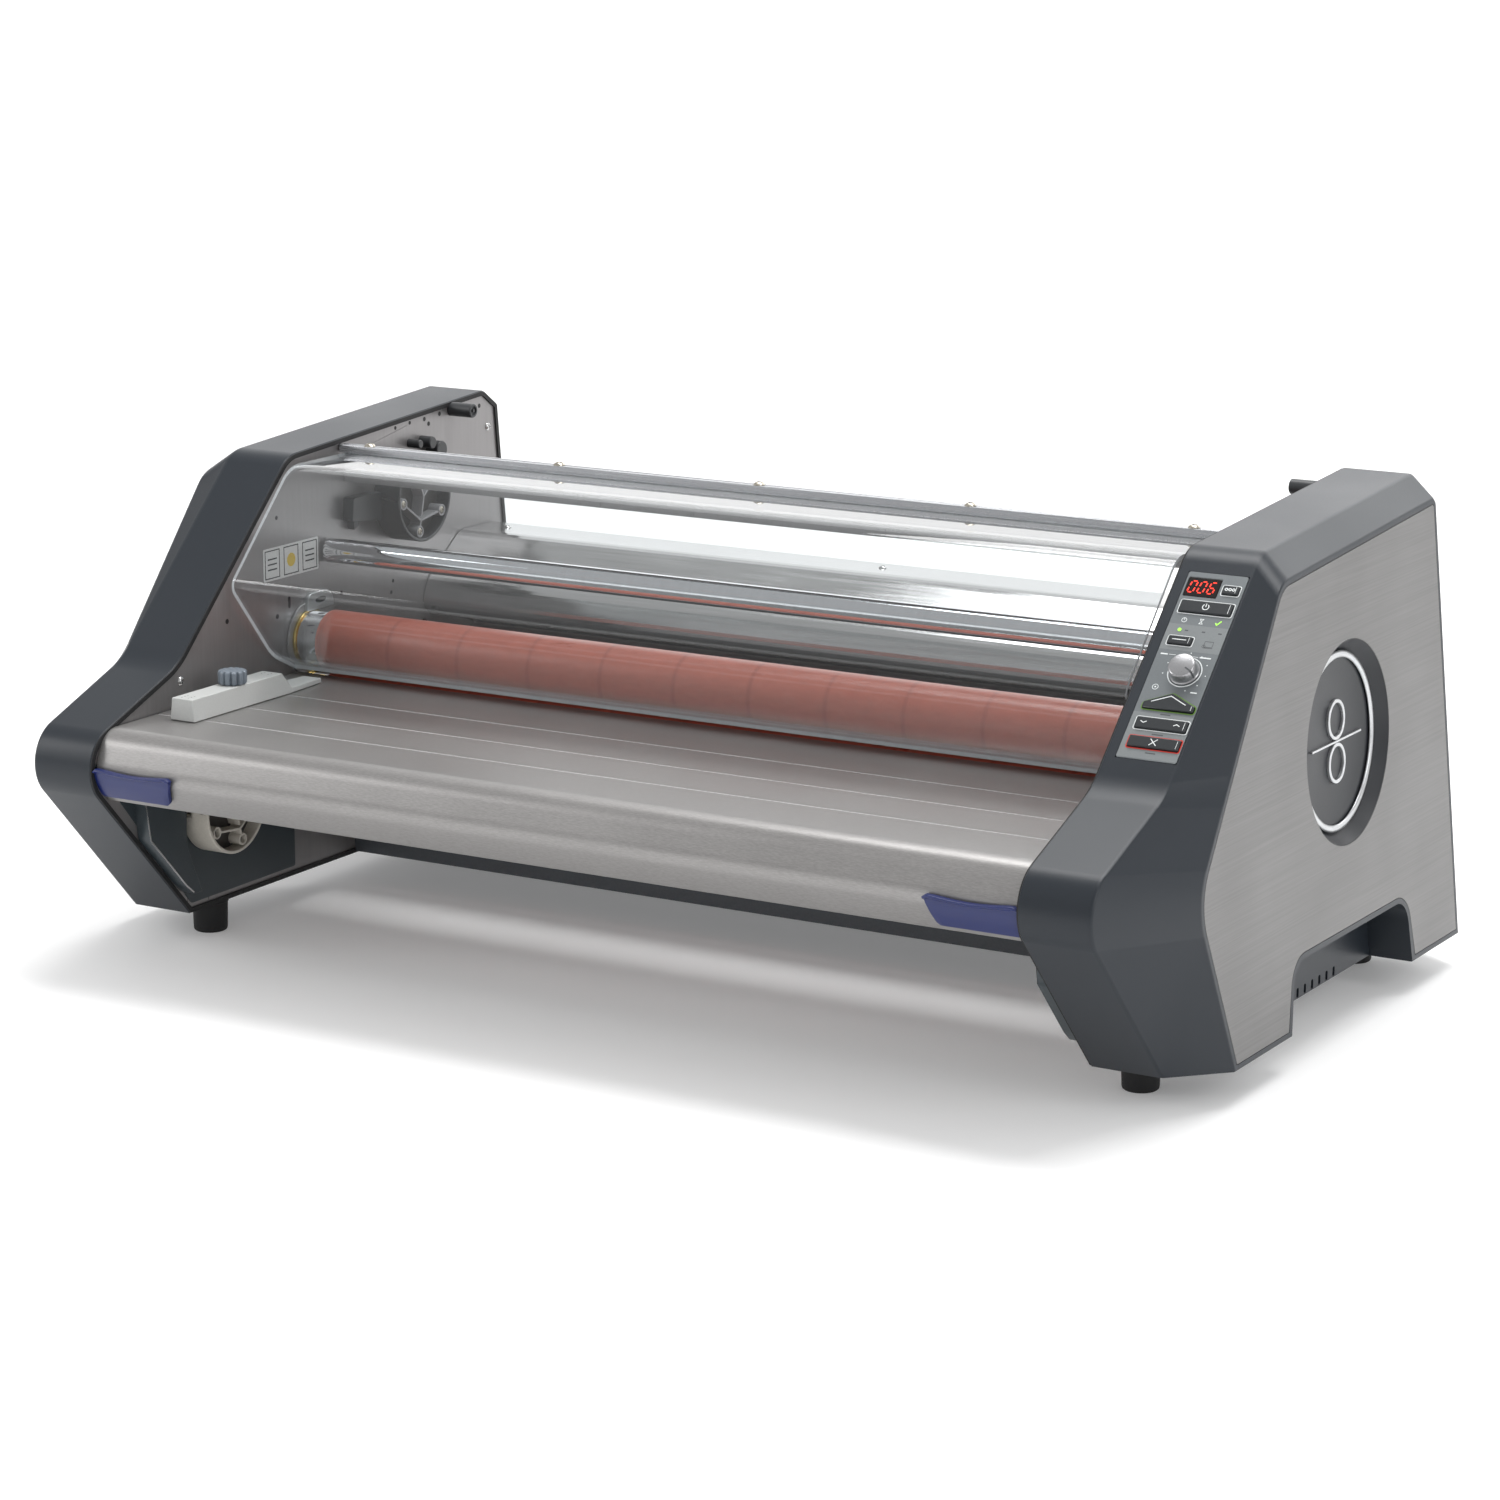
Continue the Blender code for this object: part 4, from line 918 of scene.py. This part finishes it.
def lower_wall():
    """Dark walls on each side plate below the table, the front one standing proud."""
    thin, proud_by = 0.0006, 0.012
    wall = on_left(((-0.2755, 0.159, 0.002, 2), (-0.19, 0.159, 0.002, 2), (-0.04, 0.136, 0.002, 2),
                    (-0.04, 0.032, 0.002, 2), (-0.169, 0.032, 0.002, 2)), 0.0, thin)
    proud = on_left(((-0.2335, 0.124, 0.002, 2), (-0.2286, 0.0936, 0.003, 3), (-0.1884, 0.0506, 0.004, 3),
                     (-0.1792, 0.0432, 0.001, 2), (-0.17, 0.0432, 0.001, 2), (-0.186, 0.08, 0.001, 2),
                     (-0.186, 0.124, 0.001, 2)), thin, proud_by)
    piece("lower_walls", both(joined([wall, proud])), LOWER_WALL_DARK, bevel=0.0003)
    edge = ribbon([(-0.2332, 0.1235), (-0.2281, 0.094), (-0.1882, 0.0512), (-0.18, 0.0445)], 0.0012)
    edge = moved(edge, facing_in(-1, 0, 0, proud_by))
    piece("lower_wall_edges", both(edge), ZINC)
    screw = moved(screw_head(0.0034), facing_in(-1, -0.2247, 0.1006, thin))
    piece("lower_wall_screws", both(screw), HUB_DARK)


# Control panel
def ribbon(points, width, closed=False, low=0.0, high=PRINT_DEPTH):
    """A printed line of one width along a flat route."""
    points = [Vector(p) for p in points]
    count = len(points)
    left, right = [], []
    for i, point in enumerate(points):
        before = point - points[i - 1] if (i or closed) else points[1] - point
        after = points[(i + 1) % count] - point if (i + 1 < count or closed) else before
        before, after = before.normalized(), after.normalized()
        normal = Vector((-before.y - after.y, before.x + after.x)).normalized()
        share = max(normal.dot(Vector((-before.y, before.x))), 0.4)
        left.append(point + normal * width / 2 / share)
        right.append(point - normal * width / 2 / share)
    bm = bmesh.new()
    rows = [[bm.verts.new((p.x, p.y, z)) for p in side] for side, z in (
        (left, low), (left, high), (right, high), (right, low))]
    last = count if closed else count - 1
    for first, second in zip(rows, rows[1:] + rows[:1]):
        for i in range(last):
            j = (i + 1) % count
            bm.faces.new((first[i], first[j], second[j], second[i]))
    if not closed:
        for i in (0, -1):
            bm.faces.new([row[i] for row in rows])
    return bm


def dot(x, y, radius, count, high=PRINT_DEPTH):
    return prism(circle(radius, count, (x, y)), 0.0, high)


def hoop(x, y, radius, width, count=32):
    """A printed ring."""
    return ribbon(circle(radius, count, (x, y)), width, True)


KEYS = {
    "power_button": ((0.3835, 0.1433), (0.4208, 0.1527)),
    "counter_button": ((0.4087, 0.1603), (0.4203, 0.1671)),
    "film_button": ((0.3845, 0.1172), (0.4015, 0.1236)),
    "slow_rocker": ((0.385, 0.0497), (0.4215, 0.0583)),
    "stop_button": ((0.385, 0.035), (0.4215, 0.0435)),
}
RUN_KEY = ((0.385, 0.0655), (0.385, 0.07), (0.403, 0.0785), (0.4215, 0.07), (0.4215, 0.0655))
DISPLAY = ((0.382, 0.1568), (0.4056, 0.1717))
KEY_FOOT, KEY_TOP = -0.004, 0.0018  # heights of a key above the slope of the panel
PLATE_TOP = 0.0001
THROUGH = (-0.01, 0.01)  # heights of a cutter that goes right through the panel


def arc(centre, radius, start, end, steps=24):
    """Points round part of a circle, angles in degrees."""
    turns = (radians(start + (end - start) * k / steps) for k in range(steps + 1))
    return [(centre[0] + radius * cos(t), centre[1] + radius * sin(t)) for t in turns]


def printed(name, shapes, finish, height, body="frame"):
    """Flat printed shapes lifted to a height above the panel's slope."""
    lifted = PANEL @ Matrix.Translation((0, 0, height))
    return piece(name, moved(joined(shapes), lifted), finish, body)


# The strokes that are lit in each figure
SEGMENTS = {"0": "abcdef", "6": "acdefg"}


def digit(which, x, y, wide=0.0042, tall=0.009):
    """A slanted seven-segment figure."""
    slant = 0.16
    half = tall / 2
    ends = {
        "a": ((0, tall), (wide, tall)), "b": ((wide, tall), (wide, half)), "c": ((wide, half), (wide, 0)),
        "d": ((0, 0), (wide, 0)), "e": ((0, half), (0, 0)), "f": ((0, tall), (0, half)),
        "g": ((0, half), (wide, half)),
    }
    made = []
    for key in SEGMENTS[which]:
        start, end = Vector(ends[key][0]), Vector(ends[key][1])
        step = (end - start).normalized() * 0.0008
        route = [(x + p.x + slant * p.y, y + p.y) for p in (start + step, end - step)]
        made.append(ribbon(route, 0.0009))
    return made


def control_panel():
    plate = rectangle((0.3802, 0.0262), (0.4232, 0.1762), 0.0015)
    holes = [prism(rectangle(low, high, grow=0.0004), *THROUGH)
             for low, high in (*KEYS.values(), DISPLAY)]
    grown_run = inset([(*c, 0.0009, 3) for c in RUN_KEY], -0.0004)
    holes += [prism(rounded(grown_run), *THROUGH), prism(circle(0.0034, 32, KNOB), *THROUGH)]
    sheet_metal = carved(prism(plate, PLATE_TOP - 0.0015, PLATE_TOP), *holes)
    piece("panel_plate", moved(sheet_metal, PANEL), PANEL_METAL,
          stands_for=["control_plate"])
    for name, (low, high) in KEYS.items():
        key = moved(prism(rectangle(low, high), KEY_FOOT, KEY_TOP), PANEL)
        piece(f"{name}_cap", key, KEY_BLACK, name, [name], bevel=0.0007, segments=3)
    run = moved(prism(rounded([(*c, 0.0008, 2) for c in RUN_KEY]), KEY_FOOT, KEY_TOP), PANEL)
    piece("run_button_cap", run, KEY_BLACK, "run_button", ["run_button"], bevel=0.0007,
          segments=3)
    window = moved(prism(rectangle(*DISPLAY), KEY_FOOT, 0.0003), PANEL)
    piece("display_window", window, GLOSS_BLACK, stands_for=["display"], bevel=0.0003)
    figures = []
    for k, figure in enumerate("006"):
        figures += digit(figure, 0.3838 + 0.007 * k, 0.1597)
    printed("display_figures", figures, RED_GLOW, 0.0003)
    zone = block((0.3804, 0.113, 0.0), (0.423, 0.1338, 0.00004))
    lower = block((0.3804, 0.027, 0.0), (0.423, 0.0625, 0.00004))
    window = prism(rectangle(*KEYS["film_button"], grow=0.0004), *THROUGH)
    gaps = [prism(rectangle(*KEYS[name], grow=0.0004), *THROUGH)
            for name in ("slow_rocker", "stop_button")]
    zones = [carved(zone, window), carved(lower, *gaps)]
    printed("panel_zones", zones, PANEL_LIGHT, PLATE_TOP)
    knob()
    panel_print()
    key_signs_and_highlights()
    finished(BOARD, "control_board")


def knob():
    profile = ((0, 0.009), (0.008, 0.009), (0.0088, 0.0087), (0.0093, 0.008), (0.0096, 0.003),
               (0.0098, 0.0016), (0.0104, 0.001), (0.0104, 0.0006), (0.003, 0.0006), (0.003, -0.006),
               (0, -0.006))
    place = PANEL @ Matrix.Translation((*KNOB, 0))
    piece("speed_knob_cap", moved(lathe(profile, 96), place), KNOB_METAL, "speed_knob",
          ["speed_knob"])
    turn = Matrix.Rotation(radians(-28), 4, "Z")
    pointer = [block((0.004, -0.0006, 0.0088), (0.009, 0.0006, 0.0091)),
               block((0.0086, -0.0006, 0.0016), (0.0099, 0.0006, 0.0088))]
    piece("speed_knob_pointer", moved(joined(pointer), place @ turn), PRINT_DARK, "speed_knob")


def panel_print():
    white, dark = [], []
    for name, (low, high) in KEYS.items():
        if name != "stop_button":
            white.append(ribbon(rectangle(low, high, 0.0014, 0.0008), 0.0007, True))
    white.append(hoop(*KNOB, 0.0116, 0.0007, 64))
    white += [ribbon([(a, 0.1092), (b, 0.1092)], w) for a, b, w in (
        (0.383, 0.388, 0.001), (0.389, 0.394, 0.0003), (0.406, 0.41, 0.0003), (0.411, 0.419, 0.001))]
    white.append(ribbon([(0.414, 0.0815), (0.4185, 0.0815)], 0.0009))
    for k in range(9):
        t = radians(-70 + 260 * k / 8)
        white.append(dot(KNOB[0] + 0.0152 * cos(t), KNOB[1] + 0.0152 * sin(t), 0.00045, 10))
    white += [hoop(0.3884, 0.0829, 0.002, 0.0004), dot(0.3884, 0.0829, 0.0006, 12),
              hoop(0.39, 0.1373, 0.0017, 0.0004),
              ribbon([(0.39, 0.1373), (0.39, 0.1386)], 0.0004),
              ribbon([(0.4011, 0.1392), (0.4035, 0.1392), (0.4011, 0.1354), (0.4035, 0.1354)], 0.0004, True)]
    printed("panel_white_print", white, WHITE_PRINT_AND_KEY_HIGHLIGHT, PLATE_TOP)
    tick = [ribbon([(0.4125, 0.1374), (0.4137, 0.1358), (0.4163, 0.1391)], 0.0008),
            dot(0.3895, 0.1292, 0.0013, 24, 0.0004)]
    printed("panel_green_lamps", tick, GREEN_GLOW, PLATE_TOP)
    dark.append(ribbon(rectangle((0.4105, 0.1178), (0.4166, 0.1222), 0), 0.0003, True))
    dark.append(hoop(0.4105, 0.1182, 0.0011, 0.0003, 20))
    dark.append(ribbon([(0.4105, 0.1171), (0.4172, 0.1171)], 0.0003))
    for x in (0.3945, 0.4067, 0.4185):
        dark.append(ribbon([(x - 0.0012, 0.1292), (x + 0.0012, 0.1292)], 0.0009))
    for y, wide in ((0.0622, 0.0036), (0.0463, 0.004), (0.0317, 0.0036)):
        dark.append(ribbon([(0.403 - wide, y), (0.403 + wide, y)], 0.0008))
    printed("panel_dark_print", dark, PRINT_DARK, PLATE_TOP)
    low, high = KEYS["stop_button"]
    printed("stop_rim", [ribbon(rectangle(low, high, 0.0012, 0.0007), 0.0008, True)], STOP_GLOW, PLATE_TOP)
    grown_run = rounded(inset([(*c, 0.001, 3) for c in RUN_KEY], -0.0008))
    printed("run_rim", [ribbon(grown_run, 0.0007, True)], RUN_GLOW, PLATE_TOP)


def key_signs_and_highlights():
    """The plain signs printed on each key, and a painted highlight: a thin white line near each key's right
    end, riding with the key.
    """
    marks = {
        "power_button": [ribbon(arc((0.4022, 0.148), 0.0022, 125, 415), 0.0006),
                         ribbon([(0.4022, 0.148), (0.4022, 0.1507)], 0.0006)],
        "counter_button": [hoop(0.4117 + 0.0026 * k, 0.1637, 0.0009, 0.0006, 20) for k in range(3)],
        "film_button": [ribbon([(0.3878, 0.1205), (0.3978, 0.1205)], 0.0006)],
        "run_button": [ribbon([(0.3905, 0.0703), (0.403, 0.076), (0.415, 0.0703)], 0.0006)],
        "slow_rocker": [ribbon([(0.3885, 0.0548), (0.3907, 0.0535), (0.3929, 0.0548)], 0.0006),
                        ribbon([(0.4122, 0.0535), (0.4144, 0.0548), (0.4166, 0.0535)], 0.0006)],
        "stop_button": [ribbon([(0.4005, 0.0368), (0.4055, 0.0417)], 0.0006),
                        ribbon([(0.4005, 0.0417), (0.4055, 0.0368)], 0.0006)],
    }
    for name, shapes in marks.items():
        low, high = KEYS.get(name, ((0.385, 0.0655), (0.4215, 0.0708)))
        margin = 0.0012 if high[1] - low[1] > 0.007 else 0.001
        # A thin white line near each key's right end is a painted highlight on the key's bevel.
        highlight_x = high[0] - 0.0019
        shapes.append(ribbon([(highlight_x, low[1] + margin), (highlight_x, high[1] - margin)], 0.0003))
        printed(f"{name}_mark", shapes, WHITE_PRINT_AND_KEY_HIGHLIGHT, KEY_TOP, name)


# Underside and back
def feet():
    """Rubber feet, hollow below."""
    profile = ((0, 0.0243), (0.014, 0.0243), (0.014, 0.0225), (0.0134, 0.022), (0.0128, 0.0022),
               (0.0124, 0.0008), (0.0114, 0.0), (0.006, 0.0), (0.0055, 0.001), (0, 0.001))
    for place in ("left_front", "left_rear", "right_front", "right_rear"):
        low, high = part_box(f"{place}_foot")
        centre = Matrix.Translation(((low.x + high.x) / 2, (low.y + high.y) / 2, 0))
        piece(f"{place}_rubber_foot", moved(lathe(profile, 40), centre), RUBBER,
              stands_for=[f"{place}_foot"])


def inner_pieces():
    """Finishes of what stays as it was packed, and the tie channel."""
    finished(PAINTED, "base_pan", "rear_panel")
    finished(ZINC, "rear_cover")
    finished(STEEL, "drive_motor")
    finished(CREAM, "front_idler_gear", "rear_idler_gear", "upper_heater", "lower_heater")
    finished(GREY_RUBBER, "upper_pull_roller", "lower_pull_roller")
    finished(BRASS, "motor_pinion")
    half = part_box("upper_tie_bar")[1].x
    channel = rounded(((0.034, 0.3205, 0, 1), (0.034, 0.3385, 0.0025, 4), (0.062, 0.3385, 0.0025, 4),
                       (0.062, 0.3205, 0, 1), (0.06, 0.3205, 0, 1), (0.06, 0.3365, 0.001, 2),
                       (0.036, 0.3365, 0.001, 2), (0.036, 0.3205, 0, 1)))
    piece("tie_channel", moved(prism(channel, -half, half), ACROSS), STEEL,
          stands_for=["upper_tie_bar"])


def rear_socket():
    """Power inlet with its flange and pins, and the rocker's frame and marks."""
    opening = ((0.2995, 0.0592), (0.3205, 0.0592), (0.3205, 0.0718), (0.3165, 0.0758), (0.3035, 0.0758),
               (0.2995, 0.0718))
    body = carved(block((0.2956, 0.0556, -0.025), (0.3244, 0.0794, 0.0038)),
                  prism(opening, -0.014, 0.008))
    piece("inlet_body", moved(body, BACK), KEY_BLACK, stands_for=["power_inlet"],
          bevel=0.0005)
    flange = carved(block((0.29, 0.0526, 0.0), (0.33, 0.0824, 0.0014)),
                    block((0.2956, 0.0556, -0.01), (0.3244, 0.0794, 0.01)))
    piece("inlet_flange", moved(flange, BACK), HUB_DARK, bevel=0.0004)
    pins = [block((u - 0.0011, v - 0.002, -0.0145), (u + 0.0011, v + 0.002, -0.0025))
            for u, v in ((0.3045, 0.0655), (0.3155, 0.0655), (0.31, 0.0705))]
    piece("inlet_pins", moved(joined(pins), BACK), ZINC, bevel=0.0003)
    surround = carved(block((0.262, 0.054, 0.0), (0.282, 0.081, 0.0012)),
                      block((0.264, 0.056, -0.01), (0.28, 0.079, 0.01)))
    piece("switch_frame", moved(surround, BACK), HUB_DARK, bevel=0.0004)
    finished(KEY_BLACK, "rear_switch")
    bar = ribbon([(0, -0.0022), (0, 0.0022)], 0.0007)
    ring = ribbon(circle(0.0019, 24), 0.0006, True)
    marks = [moved(bar, frame_at((-0.272, 0.26425, 0.0725), (-1, 0, 0), (0, 0.0025, 0.01))),
             moved(ring, frame_at((-0.272, 0.26425, 0.0625), (-1, 0, 0), (0, -0.0025, 0.01)))]
    piece("switch_marks", joined(marks), WHITE_PRINT_AND_KEY_HIGHLIGHT, body="rear_switch")


def rear_details():
    """Screws, vents and a plain plate on the rear panel, screws on the rear cover."""
    places = [BACK @ Matrix.Translation((u, v, 0))
              for u in (-0.355, -0.12, 0.12, 0.355) for v in (0.041, 0.164)]
    places += [Matrix.Translation((x, 0.2165, 0.259)) for x in (-0.345, 0.0, 0.345)]
    piece("rear_screws", screws_at(0.0032, places), ZINC)
    slots = [rectangle((u - 0.0016, v - 0.011), (u + 0.0016, v + 0.011), 0)
             for u in (-0.3 + 0.0095 * k for k in range(14)) for v in (0.08, 0.112)]
    # The slots are painted shade: flat black shapes where the vents open, inside raised rims.
    openings = [prism(corners, 0.0, 0.0002) for corners in slots]
    piece("vent_slot_shades", moved(joined(openings), BACK), BLACK_SHADE_AND_PRINT)
    rims = [ribbon(corners, 0.0008, True, high=0.0007) for corners in slots]
    piece("vent_rims", moved(joined(rims), BACK), PAINTED)
    plate = prism(rectangle((0.16, 0.056), (0.23, 0.092), 0.0015), 0.0, 0.0003)
    piece("rating_plate", moved(plate, BACK), PANEL_LIGHT)
    lines = [ribbon([(0.165, v), (0.165 + reach, v)], 0.0012, low=0.0003, high=0.0004)
             for v, reach in ((0.086, 0.034), (0.08, 0.058), (0.074, 0.05), (0.068, 0.055), (0.062, 0.028))]
    piece("rating_lines", moved(joined(lines), BACK), PRINT_DARK)


def build():
    covers()
    gasket()
    feed_table()
    latches()
    guide()
    heat_rollers()
    bars()
    pull_rollers()
    hubs()
    shield()
    plate_details()
    control_panel()
    feet()
    inner_pieces()
    rear_socket()
    rear_details()


# Stage
# name, place, what it faces, width and height, watts
SOFT_BOXES = (
    ("top_box", (0.1, 0.5, 2.6), (0, 0, 0.2), (2.4, 1.0), 62.0),
    ("left_box", (-2.4, -1.6, 1.4), (0, -0.1, 0.2), (0.7, 1.8), 26.0),
    ("right_box", (2.6, -0.6, 1.2), (0.3, 0, 0.2), (0.9, 1.6), 14.0),
    ("back_box", (0.4, 2.6, 1.7), (0, 0, 0.25), (2.6, 0.6), 12.0),
)


def stage():
    """Pale seamless floor that curves up far behind, soft boxes above and beside, the camera."""
    paper, tree = new_material("pale_paper")
    shader = tree.nodes["Principled BSDF"]
    shader.inputs["Roughness"].default_value = 0.9
    shader.inputs["Specular IOR Level"].default_value = 0.1
    tone = blend_colour(tree, noise(tree, 3), (0.86, 0.86, 0.86, 1), (0.9, 0.9, 0.9, 1))
    tree.links.new(tone, shader.inputs["Base Color"])
    place = node(tree, "ShaderNodeTexCoord")
    depth = node(tree, "ShaderNodeSeparateXYZ")
    tree.links.new(place.outputs["Object"], depth.inputs["Vector"])
    shader.inputs["Emission Color"].default_value = (1.0, 1.0, 1.0, 1.0)
    glow = spread(tree, depth.outputs["Y"], 0.16, 0.8, (1.5, 6.5))
    tree.links.new(glow, shader.inputs["Emission Strength"])
    bend = 4.0
    turns = [pi / 2 * k / 24 for k in range(25)]
    curve = [(8 + bend * sin(t), bend - bend * cos(t)) for t in turns]
    route = [(-12.0, 0.0), *curve, (12.0, 14.0)]
    bm = bmesh.new()
    rows = [[bm.verts.new((x, y, z)) for y, z in route] for x in (-16, 16)]
    for i in range(len(route) - 1):
        bm.faces.new((rows[0][i], rows[1][i], rows[1][i + 1], rows[0][i + 1]))
    mesh = mesh_of("floor", bm)
    mesh.shade_smooth()
    mesh.materials.append(paper)
    floor = added("floor", mesh)

    world = bpy.data.worlds.new("studio")
    world.use_nodes = True
    sky = world.node_tree.nodes["Background"].inputs
    sky["Color"].default_value = (1.0, 1.0, 1.0, 1.0)
    sky["Strength"].default_value = 0.62
    bpy.context.scene.view_settings.view_transform = "Standard"
    bpy.context.scene.world = world
    for name, place, aim, size, power in SOFT_BOXES:
        lamp = bpy.data.lights.new(name, "AREA")
        lamp.shape = "RECTANGLE"
        lamp.size, lamp.size_y = size
        lamp.energy = power
        made = added(name, lamp)
        made.location = place
        made.rotation_euler = (Vector(aim) - Vector(place)).to_track_quat("-Z", "Y").to_euler()

    azimuth, elevation = radians(30.691), radians(13.127)
    view = bpy.data.cameras.new("camera")
    view.lens, view.sensor_width = 102.36, 36.0
    camera = added("camera", view)
    camera.location = (1.5492, -2.5925, 0.8638)
    camera.rotation_euler = (pi / 2 - elevation, 0, azimuth)
    bpy.context.scene.camera = camera


build()
stage()
